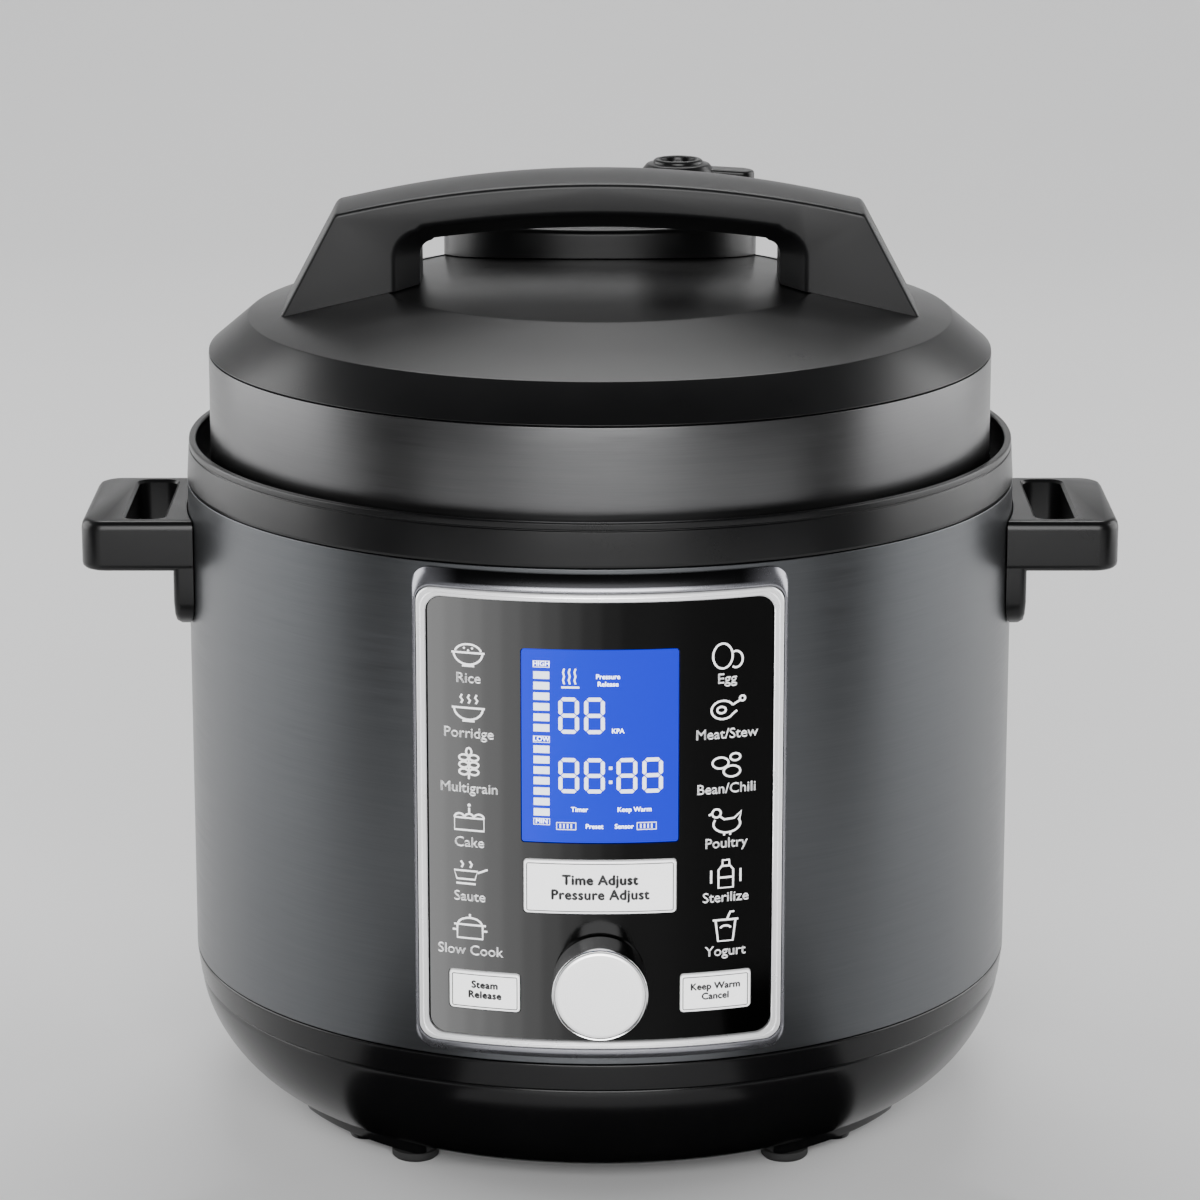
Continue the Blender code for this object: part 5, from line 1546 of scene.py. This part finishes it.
holder_plate = np.array([on_side(half, corner, 134.5, out, z) for z, half, out, corner in (
    (150.0, 24.0, 136.9, 1.0), (150.5, 24.5, 137.2, 1.2), (152.0, 25.5, 137.5, 1.5),
    (193.8, 25.6, 137.5, 1.5))])
holder_hood = np.array([on_side(half, corner, 134.6, out, z) for z, half, out, corner in (
    (192.4, 25.6, 149.6, 3.8), (192.8, 26.0, 150.0, 4.0), (195.0, 25.9, 149.9, 4.0),
    (195.7, 25.6, 149.6, 3.8), (196.0, 25.1, 149.1, 3.6))])
bracket("cup_hanger", "cup_holder",
        [part[..., [1, 0, 2]] * [-1, 1, 1] for part in (holder_plate, holder_hood)])
report()

# %% Cup and bottom plate
clear = Finish("clear_plastic", Base_Color=(0.86, 0.89, 0.9), Transmission_Weight=0.92, IOR=1.49)
clear.drive("Roughness", 0.06 + 0.1 * clear.noise(6, detail=4.0))
clear.bump(clear.noise(3, detail=1.0), 0.01)
cup_low, cup_high = node_box("condensation_cup")
cup_middle, cup_deep = (cup_low[1] + cup_high[1]) / 2, (cup_high[1] - cup_low[1]) / 2
cup_rows = []
for inset, corner, z in ((1.2, 2.8, cup_low[2]), (0.35, 3.7, cup_low[2] + 0.35), (0, 4.0, cup_low[2] + 1.5),
                         (0, 4.0, cup_high[2] - 0.3), (0.3, 3.7, cup_high[2]), (1.3, 2.7, cup_high[2]),
                         (1.6, 2.4, cup_high[2] - 0.3), (1.6, 2.4, cup_low[2] + 3.0),
                         (2.6, 1.6, cup_low[2] + 1.8)):
    points, _ = outline(cup_high[0] - inset, cup_deep - inset, corner, 8, centre=(0, cup_middle))
    cup_rows.append(level(points, z))
surface("drip_cup", np.array(cup_rows), clear.material, "condensation_cup", ["condensation_cup"],
        close_columns=True, caps=True, slot="clear_plastic", smooth=50)

plate = turned("bottom_plate", [(0, 6.4), (84.0, 6.4), (84.0, 4.4), (0, 4.4)], [0, 0.4, 0.6, 0],
               BASE_BLACK, "root", ["bottom_cover"], segments=128, slot="black_plastic")
SLOT_PITCH = 8.0
for row in range(-3, 4):
    points, _ = outline(1.5, 22.0, 1.45, 5, centre=(SLOT_PITCH * row, 0))
    carve(plate, [solid(np.array([level(points, z) for z in (2.0, 12.0)]))])
carve(plate, [rod((x, y), 3.5, (5.4, 23.7), 32) for x in (-45.0, 45.0) for y in (-28.0, 28.0)], "UNION")
report()

# %% [markdown]
# ## Screws
#
# A pan head with a cross recess, and a shaft whose thread is a row of small ridges. The profile is worked
# out along Z and then laid along the screw's own axis.

# %% Screws
def fastener(node, body, head_r, shaft_r, axis):
    """Head and thread between the ends of the node's box. The head is at the low end along the axis."""
    low, high = np.array(node_box(node))
    sign = -1 if axis == 0 and low[0] < 0 else 1
    length = high[axis] - low[axis]
    centre = (low + high) / 2
    profile = [(0, 0.35), (head_r * 0.45, 0.1), (head_r * 0.8, 0.35), (head_r, 1.0), (head_r, 1.9),
               (shaft_r, 2.0)]
    for ridge in np.arange(3.2, length - 1.2, 1.0):
        profile += [(shaft_r - 0.22, ridge), (shaft_r, ridge + 0.5)]
    profile += [(shaft_r * 0.6, length), (0, length)]

    def lay(p):
        """Lay (x, y, z) along the screw: z runs from the head, x and y across."""
        if axis == 0:
            start = low[0] if sign > 0 else high[0]
            return np.stack([start + sign * p[..., 2], centre[1] + p[..., 0], centre[2] + p[..., 1]], -1)
        return p + [centre[0], centre[1], low[2]]

    piece = surface(f"{node}_turned", lay(turned_grid(np.array(profile, float), 40)), ZINC, body, [node],
                    close_columns=True, slot="zinc", smooth=30)
    reach = head_r * 0.5
    cross = []
    for u, v in ((reach, 0.35), (0.35, reach)):
        arm = np.array([[-u, -v], [u, -v], [u, v], [-u, v]])
        cross.append(solid(lay(np.array([level(arm, z) for z in (-1.0, 1.1)]))))
    carve(piece, cross)


for number in (1, 2, 3):
    fastener(f"cover_screw_{number}", "root", 3.0, 1.5, 2)
for side in ("left", "right"):
    fastener(f"lid_handle_screw_{side}", "lid", 3.2, 1.6, 2)
for side in ("left", "right"):
    fastener(f"handle_screw_{side}", "root", 3.2, 1.4, 0)
report()

# %% [markdown]
# ## Room and light
#
# A pale table top sweeps up into a wall behind the cooker. A wide soft box stands behind the reader, and
# puts a soft light band down the middle of every round shell. Two tall ones stand behind the cooker's
# shoulders and light its sides. Between them the room stays dim, and that is what gives the dark steel
# and the black plastic their contrast. One more hangs above for the top surfaces.

# %% Table and lights
def sweep(half_wide=5.0, near=-4.5, bend_start=1.6, radius=1.4, high=3.2, steps=24):
    """A floor that turns up into a wall: flat, a quarter circle, then upright."""
    angle = np.linspace(0, np.pi / 2, steps)
    y = np.concatenate([[near], bend_start + radius * np.sin(angle), [bend_start + radius]])
    z = np.concatenate([[0.0], radius * (1 - np.cos(angle)), [high]])
    x = np.broadcast_to([-half_wide, half_wide], (len(y), 2))
    return np.stack([x, np.repeat(y[:, None], 2, 1), np.repeat(z[:, None], 2, 1)], -1)


def staged(name, grid, finish):
    """A thing of the studio, from a grid in metres. It is no part of the cooker."""
    data = bpy.data.meshes.new(name)
    data.from_pydata(grid.reshape(-1, 3).tolist(), [], grid_quads(*grid.shape[:2], False, False).tolist())
    data.shade_smooth()
    data.materials.append(finish)
    piece = link(name, data)
    return piece


paint = Finish("table_paint", Base_Color=(0.86, 0.86, 0.86), Roughness=0.45)
paint.drive("Roughness", 0.42 + 0.08 * paint.noise(120))
paint.drive("Base Color", paint.mix(paint.noise(300), (0.85, 0.85, 0.85), (0.88, 0.88, 0.88)))
staged("table", sweep(), paint.material)


def softbox(name, place, aim, size, power):
    """An area light that faces a point."""
    light = bpy.data.lights.new(name, "AREA")
    light.shape, light.size, light.size_y, light.energy = "RECTANGLE", *size, power
    holder = link(name, light)
    holder.location = place
    holder.rotation_euler = Vector(np.array(aim, float) - place).to_track_quat("-Z", "Y").to_euler()
    return holder


softbox("front_box", (0, -3.2, 1.3), (0, 0, 0.15), (2.4, 1.6), 110)
softbox("left_box", (-1.9, 0.55, 0.7), (0, 0, 0.15), (2.0, 1.9), 46)
softbox("right_box", (1.9, 0.55, 0.7), (0, 0, 0.15), (2.0, 1.9), 46)
softbox("top_box", (0, 1.4, 2.3), (0, 0, 0.2), (1.6, 1.0), 30)
print("lights", [light.name for light in bpy.data.lights])

# %% [markdown]
# The bright parts of the panel get a small lamp of their own, and light linking keeps it off the rest.
# The glossy fascia needs a reflection of its own. A bank of narrow strips stands close to its left half,
# each weaker than the one before it, and light linking lets them shine on the fascia alone. Their
# reflection fades out towards the middle of the panel.

# %% Light for the panel alone
def only(name, pieces):
    """A collection for light linking."""
    group = bpy.data.collections.new(name)
    for piece in pieces:
        group.objects.link(piece)
    return group


only_bright = only("only_bright", (*caps, trim, knob_front, menu_words, menu_icons))
panel_lamp = softbox("panel_lamp", (-0.1, -1.5, 0.45), (0, 0, 0.12), (0.5, 0.5), 24)
panel_lamp.light_linking.receiver_collection = only_bright

STRIPS, STRIP_R, STRIP_Z = 11, 0.22, 0.1
STRIP_PITCH = math.radians(3.6)
only_fascia = only("only_fascia", [fascia])
for k in range(STRIPS):
    turn = math.radians(-34) + STRIP_PITCH * k
    strip = softbox(f"strip_{k + 1}", (STRIP_R * math.sin(turn), -STRIP_R * math.cos(turn), STRIP_Z),
                    (0, 0, STRIP_Z), (STRIP_R * STRIP_PITCH, 0.2), 0.3 * (1 - k / STRIPS) ** 1.6)
    strip.light_linking.receiver_collection = only_fascia
print("strips", STRIPS)

world = bpy.data.worlds.new("studio")
world.use_nodes = True
sky = world.node_tree.nodes["Background"]
sky.inputs["Color"].default_value, sky.inputs["Strength"].default_value = (0.9, 0.92, 1.0, 1), 0.06
bpy.context.scene.world = world

# %% [markdown]
# A pale room fills every dark gloss with grey. Black flags stand just outside the view,
# and the gloss then shows their black instead. Here five flags are seen by reflections alone: one arc
# on each side of the reader, and an apron of three pieces on the table in front of the bowl. The apron
# is painted shade: it darkens the bowl's reflection of the table by its foot, where shade falls.

# %% Black flags
velvet = Finish("flag_velvet", Base_Color=(0.002, 0.002, 0.002), Roughness=1.0, Specular_IOR_Level=0.0)
velvet.drive("Base Color", velvet.mix(velvet.noise(5), (0.001, 0.001, 0.001), (0.003, 0.003, 0.003)))


def flag(name, start, end, inner, outer, low, high):
    """Part of a cone: angle runs from start to end degrees off the -Y axis, radius and height together."""
    angle, t = np.radians(np.linspace(start, end, 24)), np.linspace(0, 1, 8)[:, None]
    radius, z = inner + (outer - inner) * t, low + (high - low) * t
    grid = np.stack([radius * np.sin(angle), -radius * np.cos(angle), np.broadcast_to(z, (8, 24))], -1)
    card = staged(name, grid, velvet.material)
    for ray in ("camera", "diffuse", "shadow", "transmission"):
        setattr(card, f"visible_{ray}", False)


flag("left_flag", -65, -47, 0.62, 0.62, 0.0, 0.9)
flag("right_flag", 54.5, 72.5, 0.62, 0.62, 0.0, 0.9)
# The apron pieces are painted shade on the table near the bowl, seen in its reflections alone.
APRON_Z = 0.0005
flag("left_apron", -48, -26, 0.10, 0.35, APRON_Z, APRON_Z)
flag("apron", -26, 26, 0.10, 0.16, APRON_Z, APRON_Z)
flag("right_apron", 26, 48, 0.10, 0.35, APRON_Z, APRON_Z)
